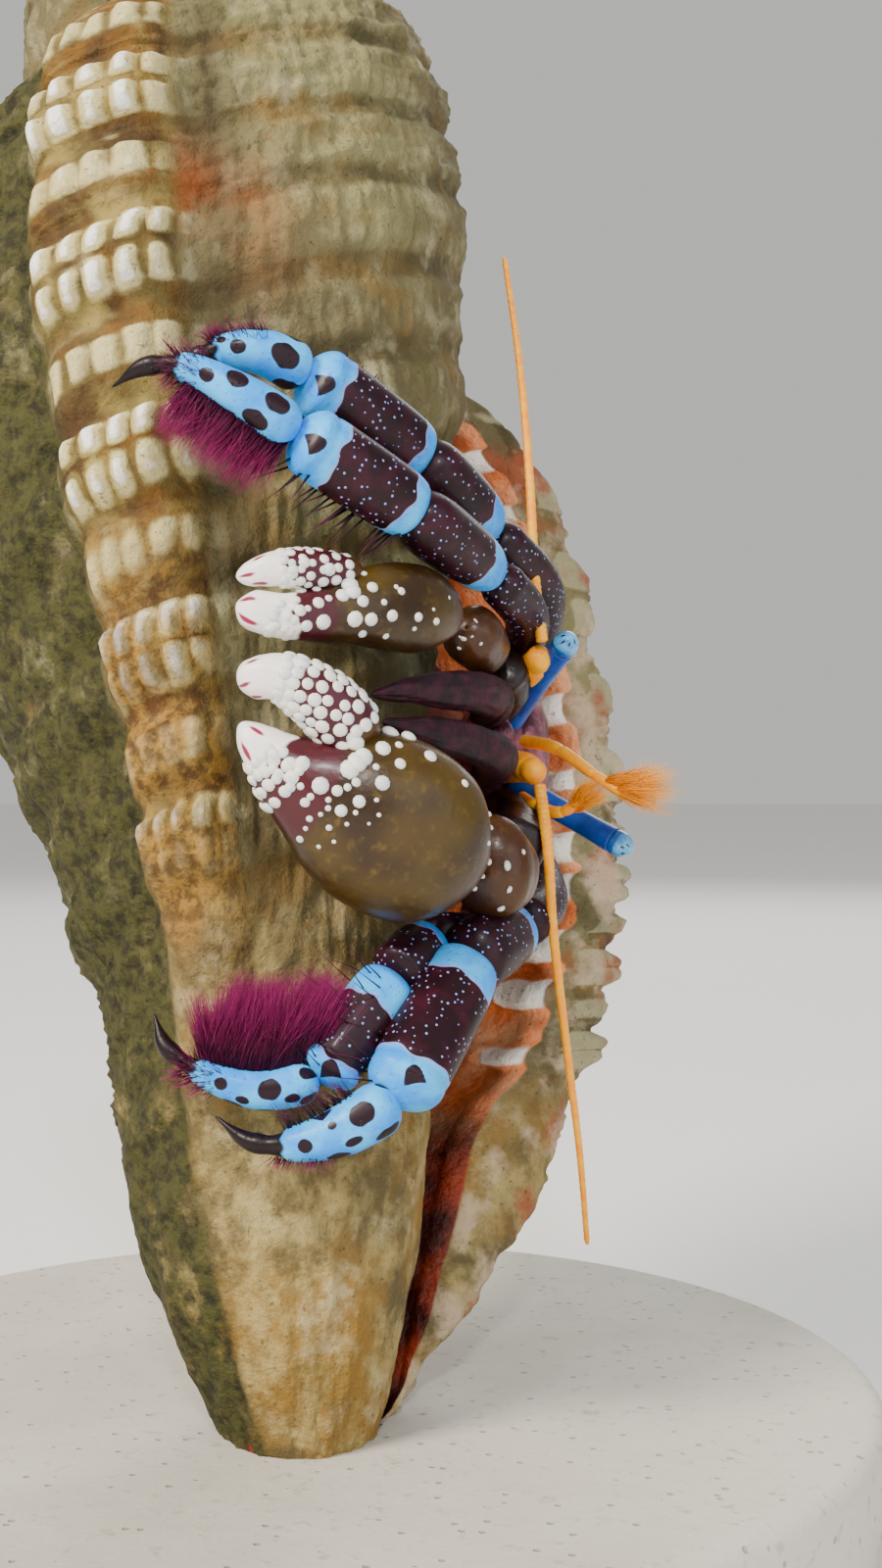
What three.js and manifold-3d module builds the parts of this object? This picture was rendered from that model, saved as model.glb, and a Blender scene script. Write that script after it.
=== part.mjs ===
// Elegant hermit crab (Calcinus elegans) in the shell of a triton snail, life size.
// Millimetres, +Z up. The shell stands on its siphonal canal in a plain stone base and the
// crab looks out of the aperture towards -Y, with its back to +X and its left side down.
// The root's origin is the middle of the base's underside.
import * as THREE from 'three';
import { mergeVertices } from 'three/addons/utils/BufferGeometryUtils.js';
import Module from 'manifold-3d';

const wasm = await Module();
wasm.setup();

const DEG = Math.PI / 180;
const TURN = 2 * Math.PI;

// ---------------------------------------------------------------- driving dimensions
const GAP = 0.3;                       // clearance between neighbouring pieces

// Shell: a spiral about its own axis, apex at the shell frame's origin, axis down -Z.
const SHELL_HEIGHT = 124;              // apex to the tip of the canal
const WHORL_GROWTH = 1.7;              // growth of the whorl in one turn
const CANAL_GROWTH = 0.21;             // share of that growth that the canal column keeps
const CANAL_START = 0.42;              // where along the profile the growth starts to fade
const CANAL_FULL = 0.82;
const SPIRE_WHORLS = 5;
const SPIRE_STEPS = 16;                // facets round its last whorl, fewer on each before it
const SPIRE_START = 3 * DEG;
const APEX_CORE = 0.6;                 // radius of the solid core about the axis
const VARIX_SPACING = 224 * DEG;       // old lips stand this far apart along the spiral
const VARIX_WIDTH = 12.5 * DEG;
const VARIX_RISE = 3.6;
const VARIX_COUNT = 8;
const LIP_SPREAD = 48 * DEG;           // stretch over which the whorl widens to the lip
const LIP_ARC = 26 * DEG;
const JOIN_ARC = 0.9 * DEG;             // gap, as an angle, between the lip and the whorl
const LIP_START = 0.04;                // along the profile, clear of the suture
const LIP_END = 0.95;                  // the lip stops just above the foot of the canal
const LIP_THICKNESS = 4.6;
const WALL = 2.2;
const INNER_LINING = 0.5;             // glaze of the inner lip over the earlier whorl
const CAVITY_ARC = 190 * DEG;
const CORD_PITCH = 4.85;               // between spiral cords, measured on the latest old lip
const CORD_START = 2.5;                // from the suture down to the first groove
const CORD_STEPS = 20;                 // half cords, from groove to crest and back
const CORD_DEPTH = 0.9;                // of the grooves below the strong cords' crests
const MINOR_CORD = 0.4;                // how far the cords between them stay below
const VARIX_CORDS = 1.4;               // the cords stand out this much more on the old lip
const CANAL_ROWS = [0.82, 0.9];        // plain rows between the cords and the foot
const TOOTH_COUNT = 7;
const TOOTH_RADIUS = 1.5;
const VARIX_HALF_ARC = 17 * DEG;
const VARIX_TOP = 0.012;               // along the profile, from the suture to the canal
const VARIX_FOOT = 0.735;
const VARIX_EDGE = 0.35;               // thickness that the rib's edges keep
const CAVITY_TOP = 0.07;
const CAVITY_FOOT = 0.74;
const CAVITY_MOUTH = 9 * DEG;          // the hollow runs out past the lip by this much
const GROOVE_TOP = 98;                 // depths of the canal's open groove
const GROOVE_FOOT = 119;
const GROOVE_ARC = 24 * DEG;
const GROOVE_WIDTH = 3.0;
const CANAL_TOP = 103;                 // depth at which the canal is a piece of its own
const NUCLEUS_RADIUS = 1.25;
const NUCLEUS_DEPTH = 2.6;

// The whorl's profile from the suture to the end of the canal: [radius, depth below the apex].
const WHORL_PROFILE = curve2([
  [13.8, 60.0], [19.2, 62.7], [22.2, 68.5], [23.4, 76.0], [24.0, 83.9],
  [20.4, 92.0], [14.0, 100.1], [10.2, 108.2], [8.4, 116.3], [3.4, SHELL_HEIGHT],
]);
// The same profile at the outer lip, which keeps its width almost down to the canal.
const LIP_PROFILE = curve2([
  [13.8, 60.0], [19.2, 62.7], [21.8, 68.5], [22.8, 76.0], [23.6, 83.9],
  [23.4, 92.0], [21.8, 100.1], [18.2, 108.2], [12.2, 116.3], [4.0, SHELL_HEIGHT],
]);

// Stance of the shell: the foot of the canal, and the lean of the axis.
const CANAL_FOOT = new THREE.Vector3(-7.3, -11, -36.6);
const SHELL_LEAN = new THREE.Euler(-11 * DEG, -5 * DEG, 31 * DEG, 'YXZ');

// Stone base: a round slab with a shallow recess that takes the foot of the canal.
const BASE_RADIUS = 34;
const BASE_THICKNESS = 7;
const BASE_BEVEL = 1.2;
const BASE_TOP = -35.4;
const RECESS_SLACK = 1.0;
const BASE_CENTRE = new THREE.Vector3(-8, 0, BASE_TOP - BASE_THICKNESS);

// ---------------------------------------------------------------- finishes
const finish = (color, roughness, metalness = 0) => () =>
  new THREE.MeshStandardMaterial({ color, roughness, metalness });
const SHELL_TAN = finish('#bda87e', 0.82);
const SHELL_PALE = finish('#d8cbaa', 0.78);
const SHELL_ORANGE = finish('#d98a52', 0.6);
const CANAL_OCHRE = finish('#a98c52', 0.85);
const LEG_BLUE = finish('#74c6f4', 0.42);
const LEG_DARK = finish('#2a0d18', 0.4);
const CLAW_OLIVE = finish('#5a4717', 0.32);
const CLAW_RUST = finish('#7a4718', 0.36);
const FINGER_WHITE = finish('#e9e4dc', 0.4);
const EYE_BLUE = finish('#1c63bd', 0.3);
const CORNEA_BLUE = finish('#5cb0e6', 0.15);
const FEELER_ORANGE = finish('#ff9f08', 0.4);
const BODY_MAUVE = finish('#7c4152', 0.5);
const MOUTH_MAROON = finish('#45132a', 0.5);
const ABDOMEN_PINK = finish('#b97f6c', 0.6);
const BASE_STONE = finish('#b9b3a6', 0.9);

// ---------------------------------------------------------------- small helpers
function curve2(rows) {
  return new THREE.SplineCurve(rows.map(([x, y]) => new THREE.Vector2(x, y)));
}

function v3([x, y, z]) {
  return new THREE.Vector3(x, y, z);
}

function smooth(low, high, value) {
  return THREE.MathUtils.smoothstep(value, low, high);
}

function range(from, to, steps) {
  return Array.from({ length: steps + 1 }, (_, i) => from + ((to - from) * i) / steps);
}

function bump(distance, width) {
  return Math.exp(-((distance / width) ** 2));
}

// A closed body through a row of rings. The outlines are the first and last rings' corners
// in their own planes, and the two end faces are cut from them.
function loft(rings, firstOutline, lastOutline = firstOutline) {
  const count = rings[0].length;
  const points = rings.flat();
  const index = [];
  for (let i = 0; i + 1 < rings.length; i += 1) {
    for (let j = 0; j < count; j += 1) {
      const k = (j + 1) % count;
      const a = i * count + j;
      const b = i * count + k;
      const c = a + count;
      const d = b + count;
      index.push(a, b, d, a, d, c);
    }
  }
  const last = (rings.length - 1) * count;
  for (const [a, b, c] of THREE.ShapeUtils.triangulateShape(firstOutline, [])) {
    index.push(a, c, b);
  }
  for (const [a, b, c] of THREE.ShapeUtils.triangulateShape(lastOutline, [])) {
    index.push(last + a, last + b, last + c);
  }
  const geometry = new THREE.BufferGeometry().setFromPoints(points);
  geometry.setIndex(index);
  return geometry;
}

// three.js geometry to a manifold solid. A body that came out inside out is turned.
function solid(geometry) {
  const bare = geometry.clone();
  bare.deleteAttribute('normal');
  bare.deleteAttribute('uv');
  const merged = mergeVertices(bare, 1e-5);
  const triVerts = new Uint32Array(merged.index.array);
  const vertProperties = new Float32Array(merged.attributes.position.array);
  if (signedVolume(vertProperties, triVerts) < 0) {
    triVerts.reverse();
  }
  return new wasm.Manifold(new wasm.Mesh({ numProp: 3, vertProperties, triVerts }));
}

function signedVolume(position, index) {
  const a = new THREE.Vector3();
  const b = new THREE.Vector3();
  const c = new THREE.Vector3();
  let total = 0;
  for (let i = 0; i < index.length; i += 3) {
    a.fromArray(position, index[i] * 3);
    b.fromArray(position, index[i + 1] * 3);
    c.fromArray(position, index[i + 2] * 3);
    total += a.dot(b.cross(c));
  }
  return total / 6;
}

function union(solids) {
  return solids.reduce((whole, piece) => whole.add(piece));
}

function mesh(name, body, material) {
  const { vertProperties, triVerts } = body.getMesh();
  const geometry = new THREE.BufferGeometry();
  geometry.setAttribute('position', new THREE.BufferAttribute(new Float32Array(vertProperties), 3));
  geometry.setIndex(new THREE.BufferAttribute(new Uint32Array(triVerts), 1));
  geometry.computeVertexNormals();
  const node = new THREE.Mesh(geometry, material());
  node.name = name;
  return node;
}

// ---------------------------------------------------------------- the shell's spiral
// theta is 0 at the outer lip and falls towards the apex; t runs down the profile.
function growth(theta, t) {
  const fade = smooth(CANAL_START, CANAL_FULL, t) * (1 - CANAL_GROWTH);
  const level = smooth(CANAL_FULL, 1, t);
  return Math.exp((Math.log(WHORL_GROWTH) / TURN) * theta * (1 - fade) * (1 - level));
}

// An old lip's section: a broad crest with steep sides, 1 in the middle.
function ridge(distance) {
  return Math.exp(-((distance / VARIX_WIDTH) ** 4));
}

// How far an old lip swells along the profile, and the rise of all those on the spiral.
function varixSwell(theta, t) {
  const swell = Math.max(Math.sin(Math.PI * Math.min(t * 1.12 + 0.03, 1)), 0) ** 0.6;
  return swell * VARIX_RISE * growth(theta, t);
}

// The rib one spacing back from the lip is a piece of its own, so it is left out here.
function varixRise(theta, t) {
  const ribs = range(0, VARIX_COUNT, VARIX_COUNT).filter((k) => k !== 1);
  const rise = ribs.reduce((sum, k) => sum + ridge(theta + k * VARIX_SPACING), 0);
  return rise * varixSwell(theta, t);
}

function whorlRadius(theta, t) {
  const base = WHORL_PROFILE.getPoint(t).x;
  const lip = LIP_PROFILE.getPoint(t).x;
  return base * growth(theta, t) + (lip - base) * bump(theta, LIP_SPREAD)
    + varixRise(theta, t);
}

function whorlDepth(theta, t) {
  return WHORL_PROFILE.getPoint(t).y * growth(theta, t);
}

// The profile parameter at which the whorl at theta reaches a given depth.
function profileAt(theta, depth) {
  let low = 0;
  let high = 1;
  for (let i = 0; i < 30; i += 1) {
    const middle = (low + high) / 2;
    if (whorlDepth(theta, middle) < depth) {
      low = middle;
    } else {
      high = middle;
    }
  }
  return (low + high) / 2;
}

function innerRadius(theta, depth) {
  const earlier = theta - TURN;
  return whorlRadius(earlier, profileAt(earlier, depth));
}

function onAxis(theta, radius, depth) {
  return new THREE.Vector3(radius * Math.cos(theta), -radius * Math.sin(theta), -depth);
}

// A solid swept about the axis; section(theta) lists [radius, depth] corners.
function sweep(angles, section) {
  const rings = [];
  const outlines = [];
  for (const theta of angles) {
    const corners = section(theta);
    rings.push(corners.map(([radius, depth]) => onAxis(theta, radius, depth)));
    outlines.push(corners.map(([radius, depth]) => new THREE.Vector2(radius, depth)));
  }
  return solid(loft(rings, outlines[0], outlines[outlines.length - 1]));
}

// From the core out to a row of [radius, depth] places on the whorl's surface.
function filledSection(outer) {
  const core = APEX_CORE * 0.6;
  return [[core, outer[0][1]], ...outer, [core, outer[outer.length - 1][1]]];
}

function plainSection(theta, from, to, rows) {
  return filledSection(range(from, to, rows).map((t) => [whorlRadius(theta, t), whorlDepth(theta, t)]));
}

// Grooves and crests of the spiral cords down the profile, evenly spaced on the old lip.
// Strong and minor cords take turns, and `cut` is how far a row lies below the strong crests.
function cordRows() {
  const top = whorlDepth(-VARIX_SPACING, 0) + CORD_START;
  return range(0, CORD_STEPS, CORD_STEPS).map((k) => ({
    t: profileAt(-VARIX_SPACING, top + (CORD_PITCH / 2) * k),
    cut: [CORD_DEPTH, MINOR_CORD, CORD_DEPTH, 0][k % 4],
  }));
}

function cordedRow(theta, t, cut) {
  return [whorlRadius(theta, t) - cut * growth(theta, t), whorlDepth(theta, t)];
}

// ---------------------------------------------------------------- shell pieces
function axisCore(fromDepth, toDepth) {
  const rod = new THREE.CylinderGeometry(APEX_CORE, APEX_CORE, toDepth - fromDepth, 8);
  rod.rotateX(Math.PI / 2);
  rod.translate(0, 0, -(fromDepth + toDepth) / 2);
  return solid(rod);
}

function spire() {
  const start = -TURN - SPIRE_START;
  const whorls = [];
  for (let n = 1; n <= SPIRE_WHORLS; n += 1) {
    const from = n === 1 ? start : -TURN * n;
    const steps = Math.round(SPIRE_STEPS * 0.74 ** (n - 1));
    const rows = Math.max(5 - n, 2);
    whorls.push(sweep(range(from, -TURN * (n + 1), steps), (theta) => {
      const below = whorlDepth(theta + TURN, 0);
      const reach = n === 1 ? below : below * 1.01;
      return plainSection(theta, 0, profileAt(theta, reach), rows);
    }));
  }
  const nucleus = new THREE.SphereGeometry(NUCLEUS_RADIUS, 8, 6);
  nucleus.translate(0, 0, -NUCLEUS_DEPTH);
  return union([...whorls, axisCore(NUCLEUS_DEPTH, whorlDepth(-TURN, 0)), solid(nucleus)]);
}

function bodyTop(theta) {
  if (theta > -TURN) {
    return 0;
  }
  return profileAt(theta, whorlDepth(theta + TURN, 0) + GAP);
}

function lastWhorl() {
  const rows = [
    { t: 0, cut: 0 }, ...cordRows(), ...CANAL_ROWS.map((t) => ({ t, cut: 0 })), { t: 1, cut: 0 },
  ];
  const corded = (theta) => {
    const from = bodyTop(theta);
    const outer = rows.map(({ t, cut }) => {
      const [radius, depth] = cordedRow(theta, from + (1 - from) * t, cut);
      return [radius, depth + (theta > -TURN ? GAP : 0)];
    });
    return filledSection(outer);
  };
  const covered = (theta) => plainSection(theta, bodyTop(theta), 1, 8);
  const behind = sweep(range(-LIP_ARC - JOIN_ARC, -TURN / 2, 9), corded);
  const across = sweep(range(-TURN / 2, -TURN, 11), corded);
  const under = sweep(range(-TURN, -TURN - LIP_ARC - JOIN_ARC, 3), covered);
  return union([behind, across, under, axisCore(whorlDepth(0, 0), SHELL_HEIGHT - 1)]);
}

// The hollow that the crab lives in: it follows the whorl inside its wall.
function cavitySection(theta, wall, lining) {
  const rows = 6;
  const outer = [];
  const inner = [];
  for (let i = 0; i <= rows; i += 1) {
    const share = i / rows;
    const t = CAVITY_TOP + (CAVITY_FOOT - CAVITY_TOP) * share;
    const depth = whorlDepth(theta, t);
    const out = whorlRadius(Math.min(theta, 0), t) - wall;
    const within = innerRadius(theta, depth) + lining;
    const middle = (out + within) / 2;
    const half = Math.max((out - within) / 2, 0.6);
    const round = 0.16 + 0.84 * Math.sin(Math.PI * share) ** 0.45;
    outer.push([middle + half * round, depth]);
    inner.unshift([middle - half * round, depth]);
  }
  return [...outer, ...inner];
}

function cavity(shrink = 0) {
  return sweep(range(CAVITY_MOUTH, -CAVITY_ARC, 12), (theta) => {
    const wall = WALL + (LIP_THICKNESS - WALL) * bump(theta, LIP_ARC / 2);
    return cavitySection(theta, wall + shrink, INNER_LINING + shrink);
  });
}

// The open groove of the siphonal canal, between the column and the foot of the lip.
function canalGroove() {
  const depths = range(GROOVE_TOP, GROOVE_FOOT, 4);
  return sweep(range(CAVITY_MOUTH * 0.7, -GROOVE_ARC, 4), (theta) => {
    const open = GROOVE_WIDTH * (0.3 + 0.7 * smooth(-GROOVE_ARC, 0, theta));
    const column = (depth) => innerRadius(0, depth) + INNER_LINING;
    const width = (depth) => open * (1 - 0.5 * smooth(CANAL_TOP, GROOVE_FOOT, depth));
    const outer = depths.map((depth) => [column(depth) + width(depth), depth]);
    const inner = depths.map((depth) => [column(depth), depth]).reverse();
    return [...outer, ...inner];
  });
}

function lipTooth(t) {
  const theta = -5 * DEG;
  const size = TOOTH_RADIUS - 0.6 * Math.abs(t - 0.4);
  const tooth = new THREE.SphereGeometry(size, 6, 4);
  tooth.scale(1.5, 1.2, 0.8);
  const inner = whorlRadius(theta, t) - LIP_THICKNESS;
  const place = onAxis(theta, inner + 0.2 * size, whorlDepth(theta, t));
  tooth.translate(place.x, place.y, place.z);
  return solid(tooth);
}

function outerLip() {
  const rows = [
    { t: LIP_START, cut: 0 }, ...cordRows().filter(({ t }) => t > LIP_START + 0.02),
    ...CANAL_ROWS.map((t) => ({ t, cut: 0 })), { t: LIP_END, cut: 0 },
  ];
  const body = sweep(range(0, -LIP_ARC, 4), (theta) => {
    const outer = rows.map(({ t, cut }) => {
      const [radius, depth] = cordedRow(theta, t, cut);
      return [radius, depth + GAP];
    });
    const inner = outer.map(([radius, depth]) => {
      const wall = innerRadius(theta, Math.min(depth, SHELL_HEIGHT - 2)) + GAP;
      return [Math.min(wall, radius - 0.8), depth];
    });
    return [...outer, ...inner.reverse()];
  });
  const teeth = range(0.14, 0.7, TOOTH_COUNT - 1).map(lipTooth);
  return union([body.subtract(cavity()).subtract(canalGroove()), ...teeth]);
}

// The previous lip, left standing as a thick beaded rib across the last whorl.
function varix() {
  const middle = -VARIX_SPACING;
  const rows = [
    { t: VARIX_TOP, cut: 0 }, ...cordRows().filter(({ t }) => t > VARIX_TOP + 0.01 && t < VARIX_FOOT - 0.01),
    { t: VARIX_FOOT, cut: 0 },
  ];
  return sweep(range(middle - VARIX_HALF_ARC, middle + VARIX_HALF_ARC, 6), (theta) => {
    const edge = smooth(0, 0.3, 1 - Math.abs(theta - middle) / VARIX_HALF_ARC);
    const height = edge * ridge(theta - middle);
    const outer = rows.map(({ t, cut }) => {
      const rise = height * (varixSwell(theta, t) - VARIX_CORDS * cut * growth(theta, t));
      const surface = whorlRadius(theta, t) + GAP;
      return [surface + VARIX_EDGE + rise, whorlDepth(theta, t) + GAP];
    });
    const inner = rows.map(({ t }) => [whorlRadius(theta, t) + GAP, whorlDepth(theta, t) + GAP]);
    return [...outer, ...inner.reverse()];
  });
}

// ---------------------------------------------------------------- the crab's sizes
// Every limb is a row of joints from the body outwards, in the specimen's frame:
// +X is the crab's back, -Z its left side, and -Y the way it faces.
const FACING = new THREE.Vector3(0, -1, 0);
const BACKWARD = new THREE.Vector3(1, 0, 0);

const LEGS = {
  right_third: {
    hip: [3.6, 2.6, 5.6], bend: [5.0, -4.0, 9.4], knee: [3.1, -9.8, 11.3],
    wrist: [-1.2, -17.0, 13.8], ankle: [-7.0, -20.9, 17.2], instep: [-9.8, -21.9, 18.9],
    toe: [-12.6, -22.3, 20.2], nail: [-14.4, -22.1, 20.2], tip: [-16.0, -21.8, 19.3], girth: 1.75,
  },
  right_second: {
    hip: [4.4, 5.4, 5.8], bend: [6.0, -1.5, 11.0], knee: [3.0, -7.6, 14.0],
    wrist: [-1.0, -13.0, 17.2], ankle: [-6.8, -17.4, 20.9], instep: [-9.0, -18.7, 21.7],
    toe: [-11.2, -19.3, 21.6], nail: [-12.2, -19.4, 21.3], tip: [-13.0, -19.2, 20.7], girth: 1.85,
  },
  left_second: {
    hip: [4.4, 4.6, -2.4], bend: [6.0, -2.0, -6.6], knee: [4.5, -7.6, -7.9],
    wrist: [1.5, -14.0, -9.2], ankle: [-2.2, -20.1, -15.5], instep: [-4.9, -20.6, -17.1],
    toe: [-7.6, -20.4, -17.8], nail: [-9.5, -20.0, -17.7], tip: [-11.3, -19.2, -16.6], girth: 2.0,
  },
  left_third: {
    hip: [2.8, 2.6, -2.4], bend: [2.1, -6.0, -8.0], knee: [-0.4, -13.0, -8.0],
    wrist: [-2.4, -16.2, -9.9], ankle: [-6.1, -18.6, -14.8], instep: [-9.2, -18.9, -15.3],
    toe: [-12.2, -19.0, -14.3], nail: [-13.8, -18.7, -13.2], tip: [-14.5, -18.2, -11.6], girth: 1.65,
  },
};

// Rows of [share of the length, half width, half thickness], in the leg's girth.
const PROPODUS_FORM = [[0.04, 0.86, 0.8], [0.35, 1, 0.95], [0.75, 1, 0.92], [0.95, 0.9, 0.82]];
const CARPUS_FORM = [[0.05, 0.72, 0.7], [0.5, 0.92, 0.86], [0.97, 0.9, 0.84]];
const NAIL_RADIUS = 0.38;
const TOE_RADIUS = 0.26;

// Rows of [x, y, z, half width, half thickness].
const CLAWS = {
  left: {
    finger: [
      [-3.6, -19.2, 1.7, 1.5, 1.4], [-5.1, -20.4, 3.4, 1.65, 1.5], [-6.4, -21.0, 4.5, 1.5, 1.35],
      [-7.9, -21.3, 5.2, 1.2, 1.1], [-9.2, -21.3, 5.1, 1.0, 0.9], [-9.9, -21.2, 4.8, 0.7, 0.6],
    ],
    palm: [
      [1.9, -15.5, -4.5, 2.9, 2.4], [-0.8, -17.6, -3.1, 4.3, 3.0], [-3.3, -18.8, -1.7, 4.5, 3.0],
      [-5.5, -19.5, -0.5, 3.6, 2.5], [-7.5, -20.1, 0.6, 2.1, 1.7], [-9.0, -20.5, 2.0, 1.1, 1.0],
      [-9.9, -20.7, 3.0, 0.55, 0.55],
    ],
    carpus: [
      [3.7, -7.6, -4.0, 1.9, 1.7], [3.0, -11.0, -4.4, 2.7, 2.1], [2.3, -13.8, -4.5, 2.9, 2.3],
    ],
    merus: [
      [3.4, 0.6, -1.6, 1.7, 1.6], [4.2, -3.6, -3.0, 1.9, 1.8], [4.0, -7.0, -3.8, 1.8, 1.8],
    ],
  },
  right: {
    finger: [
      [-3.9, -18.0, 10.4, 0.95, 0.9], [-6.6, -19.7, 10.7, 1.0, 0.95], [-8.4, -20.3, 10.6, 0.85, 0.8],
      [-10.1, -20.5, 10.2, 0.5, 0.45],
    ],
    palm: [
      [0.9, -13.0, 8.75, 1.8, 1.6], [-1.6, -15.6, 9.1, 2.3, 2.0], [-3.6, -17.6, 9.0, 2.1, 1.8],
      [-5.4, -18.8, 8.6, 1.6, 1.4], [-7.6, -20.1, 8.3, 1.15, 1.05], [-9.3, -20.5, 8.6, 1.0, 0.9],
      [-10.1, -20.6, 8.85, 0.55, 0.5],
    ],
    carpus: [
      [2.9, -5.4, 7.2, 1.3, 1.3], [2.1, -8.0, 7.9, 1.6, 1.5], [1.4, -10.8, 8.5, 1.75, 1.6],
    ],
    merus: [
      [3.2, 0.4, 4.6, 1.4, 1.3], [3.8, -2.2, 5.8, 1.5, 1.4], [3.5, -4.6, 6.8, 1.4, 1.4],
    ],
  },
};

const EYES = {
  right: { base: [4.1, 0.8, 3.8], tip: [7.5, -5.5, 8.5] },
  left: { base: [4.3, 0.8, 0.1], tip: [11.1, -3.5, -3.9] },
};
const EYESTALK_RADIUS = 0.8;
const CORNEA_LENGTH = 1.2;

const FEELERS = {
  right: {
    peduncle: [[3.6, 1.4, 5.3, 1.0, 1.0], [5.2, -2.4, 6.6, 0.95, 0.95], [5.8, -4.9, 7.5, 0.7, 0.7]],
    flagellum: [
      [5.8, -5.3, 8.1], [5.4, -5.2, 11.5], [5.1, -4.0, 18.2], [4.6, -2.0, 25.0], [3.8, 0.0, 31.6],
    ],
  },
  left: {
    peduncle: [[3.9, 1.4, 1.0, 1.0, 1.0], [4.9, -2.4, 1.0, 0.9, 0.9], [5.5, -5.2, 0.6, 0.7, 0.7]],
    flagellum: [
      [5.6, -5.8, 0.0], [6.0, -7.0, -3.4], [6.3, -6.9, -8.0], [7.3, -5.0, -15.8], [8.1, -3.0, -21.5],
      [8.7, -1.0, -27.4],
    ],
  },
};
const FLAGELLUM_BASE = 0.42;
const FLAGELLUM_TIP = 0.27;

const ANTENNULES = {
  right: [[4.9, -0.4, 2.6], [6.8, -4.2, 2.0], [8.6, -6.2, 0.6], [10.2, -7.8, -0.5]],
  left: [[4.8, -0.6, -0.8], [5.6, -3.4, -1.3], [6.9, -5.2, -1.6], [8.2, -6.4, -0.8]],
};
const ANTENNULE_RADIUS = 0.36;

const THORAX = [
  [3.2, 0.9, 1.8, 2.6, 1.9], [3.6, 3.0, 1.7, 3.5, 2.5], [3.4, 6.5, 1.7, 3.8, 2.6],
  [2.4, 10.0, 1.6, 3.0, 2.2],
];
const THORAX_DEPTH = 2.6;
const SHIELD_LIFT = 2.3;
const SHIELD_THICKNESS = 0.75;

const MAXILLIPEDS = {
  right: [
    [2.5, -1.0, 3.8, 1.0, 1.0], [2.8, -8.0, 4.9, 1.1, 1.0], [-0.5, -13.5, 5.0, 0.9, 0.8],
    [-3.6, -16.4, 4.6, 0.4, 0.4],
  ],
  left: [
    [2.5, -1.1, 0.4, 1.0, 1.0], [3.1, -8.2, 1.6, 1.1, 1.0], [-0.1, -13.7, 2.6, 0.9, 0.8],
    [-3.0, -16.4, 3.2, 0.4, 0.4],
  ],
};
const MOUTH = [[3.2, 0.2, 1.9, 1.9, 1.2], [3.3, -2.2, 2.2, 1.9, 1.1], [3.4, -4.0, 2.6, 0.8, 0.6]];

const SMALL_LEGS = {
  right_fourth: [[3.6, 8.0, 5.6], [5.2, 6.6, 7.6], [4.4, 4.2, 9.0]],
  right_fifth: [[1.6, 11.6, 4.9], [-0.6, 13.2, 7.6], [-2.2, 14.6, 9.2]],
  left_fourth: [[3.6, 8.0, -2.3], [5.2, 6.6, -4.4], [4.4, 4.2, -6.0]],
  left_fifth: [[1.4, 10.4, -1.9], [-0.7, 10.8, -3.8], [-1.8, 11.2, -4.8]],
};
const SMALL_LEG_RADIUS = 0.6;
const SMALL_TOE_RADIUS = 0.3;
const TUBERCLE_RADIUS = 0.45;
const TUBERCLE_FROM = 235;             // degrees round the segment, over its front
const TUBERCLE_SPAN = 100;
const ABDOMEN_START = 30 * DEG;        // the coil of the abdomen, from the lip inwards
const ABDOMEN_END = 165 * DEG;

// ---------------------------------------------------------------- limbs
// A rounded limb along a curve. Rows are [x, y, z, half width, half thickness], and the
// thickness is measured along `face`. `grow` makes the room that the limb needs.
function limb(rows, { face = FACING, corners = 9, steps = 7, grow = 0, round = 0.16 } = {}) {
  const path = new THREE.CatmullRomCurve3(rows.map(v3), false, 'centripetal');
  const girth = new THREE.SplineCurve(rows.map((row) => new THREE.Vector2(row[3], row[4])));
  const outline = range(0, 1, corners).slice(0, corners)
    .map((share) => new THREE.Vector2(Math.cos(TURN * share), Math.sin(TURN * share)));
  const rings = range(0, 1, steps).map((share) => {
    const u = share - Math.sin(TURN * share) / (1.6 * TURN);
    const tangent = path.getTangent(u);
    const deep = face.clone().addScaledVector(tangent, -face.dot(tangent)).normalize();
    const wide = new THREE.Vector3().crossVectors(tangent, deep);
    const end = Math.min(u, 1 - u) / round;
    const dome = end < 1 ? Math.sqrt(1 - 0.75 * (1 - end) ** 2) : 1;
    const size = girth.getPoint(u);
    const shift = share === 0 ? -grow : share === 1 ? grow : 0;
    const centre = path.getPoint(u).addScaledVector(tangent, shift);
    return outline.map((corner) => centre.clone()
      .addScaledVector(wide, corner.x * (size.x * dome + grow))
      .addScaledVector(deep, corner.y * (size.y * dome + grow)));
  });
  return solid(loft(rings, outline));
}

// Pieces are placed one after another. Each is cut back by the room of those before it.
const rooms = [];

function settle(name, rows, material, options = {}) {
  const shape = options.shape ?? ((grow) => limb(rows, { ...options, grow }));
  let body = shape(0);
  for (const room of rooms) {
    if (near(room.boundingBox(), body.boundingBox())) {
      body = body.subtract(room);
    }
  }
  rooms.push(shape(GAP));
  return mesh(name, largest(body), material);
}

function near(a, b) {
  return [0, 1, 2].every((i) => a.min[i] < b.max[i] && b.min[i] < a.max[i]);
}

function largest(body) {
  return body.decompose().reduce((best, piece) => (piece.volume() > best.volume() ? piece : best));
}

function withRadii(points, from, to) {
  return points.map((point, i) => {
    const radius = from + ((to - from) * i) / (points.length - 1);
    return [...point, radius, radius];
  });
}

function between(from, to, share) {
  return from.map((value, i) => value + (to[i] - value) * share);
}

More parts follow.
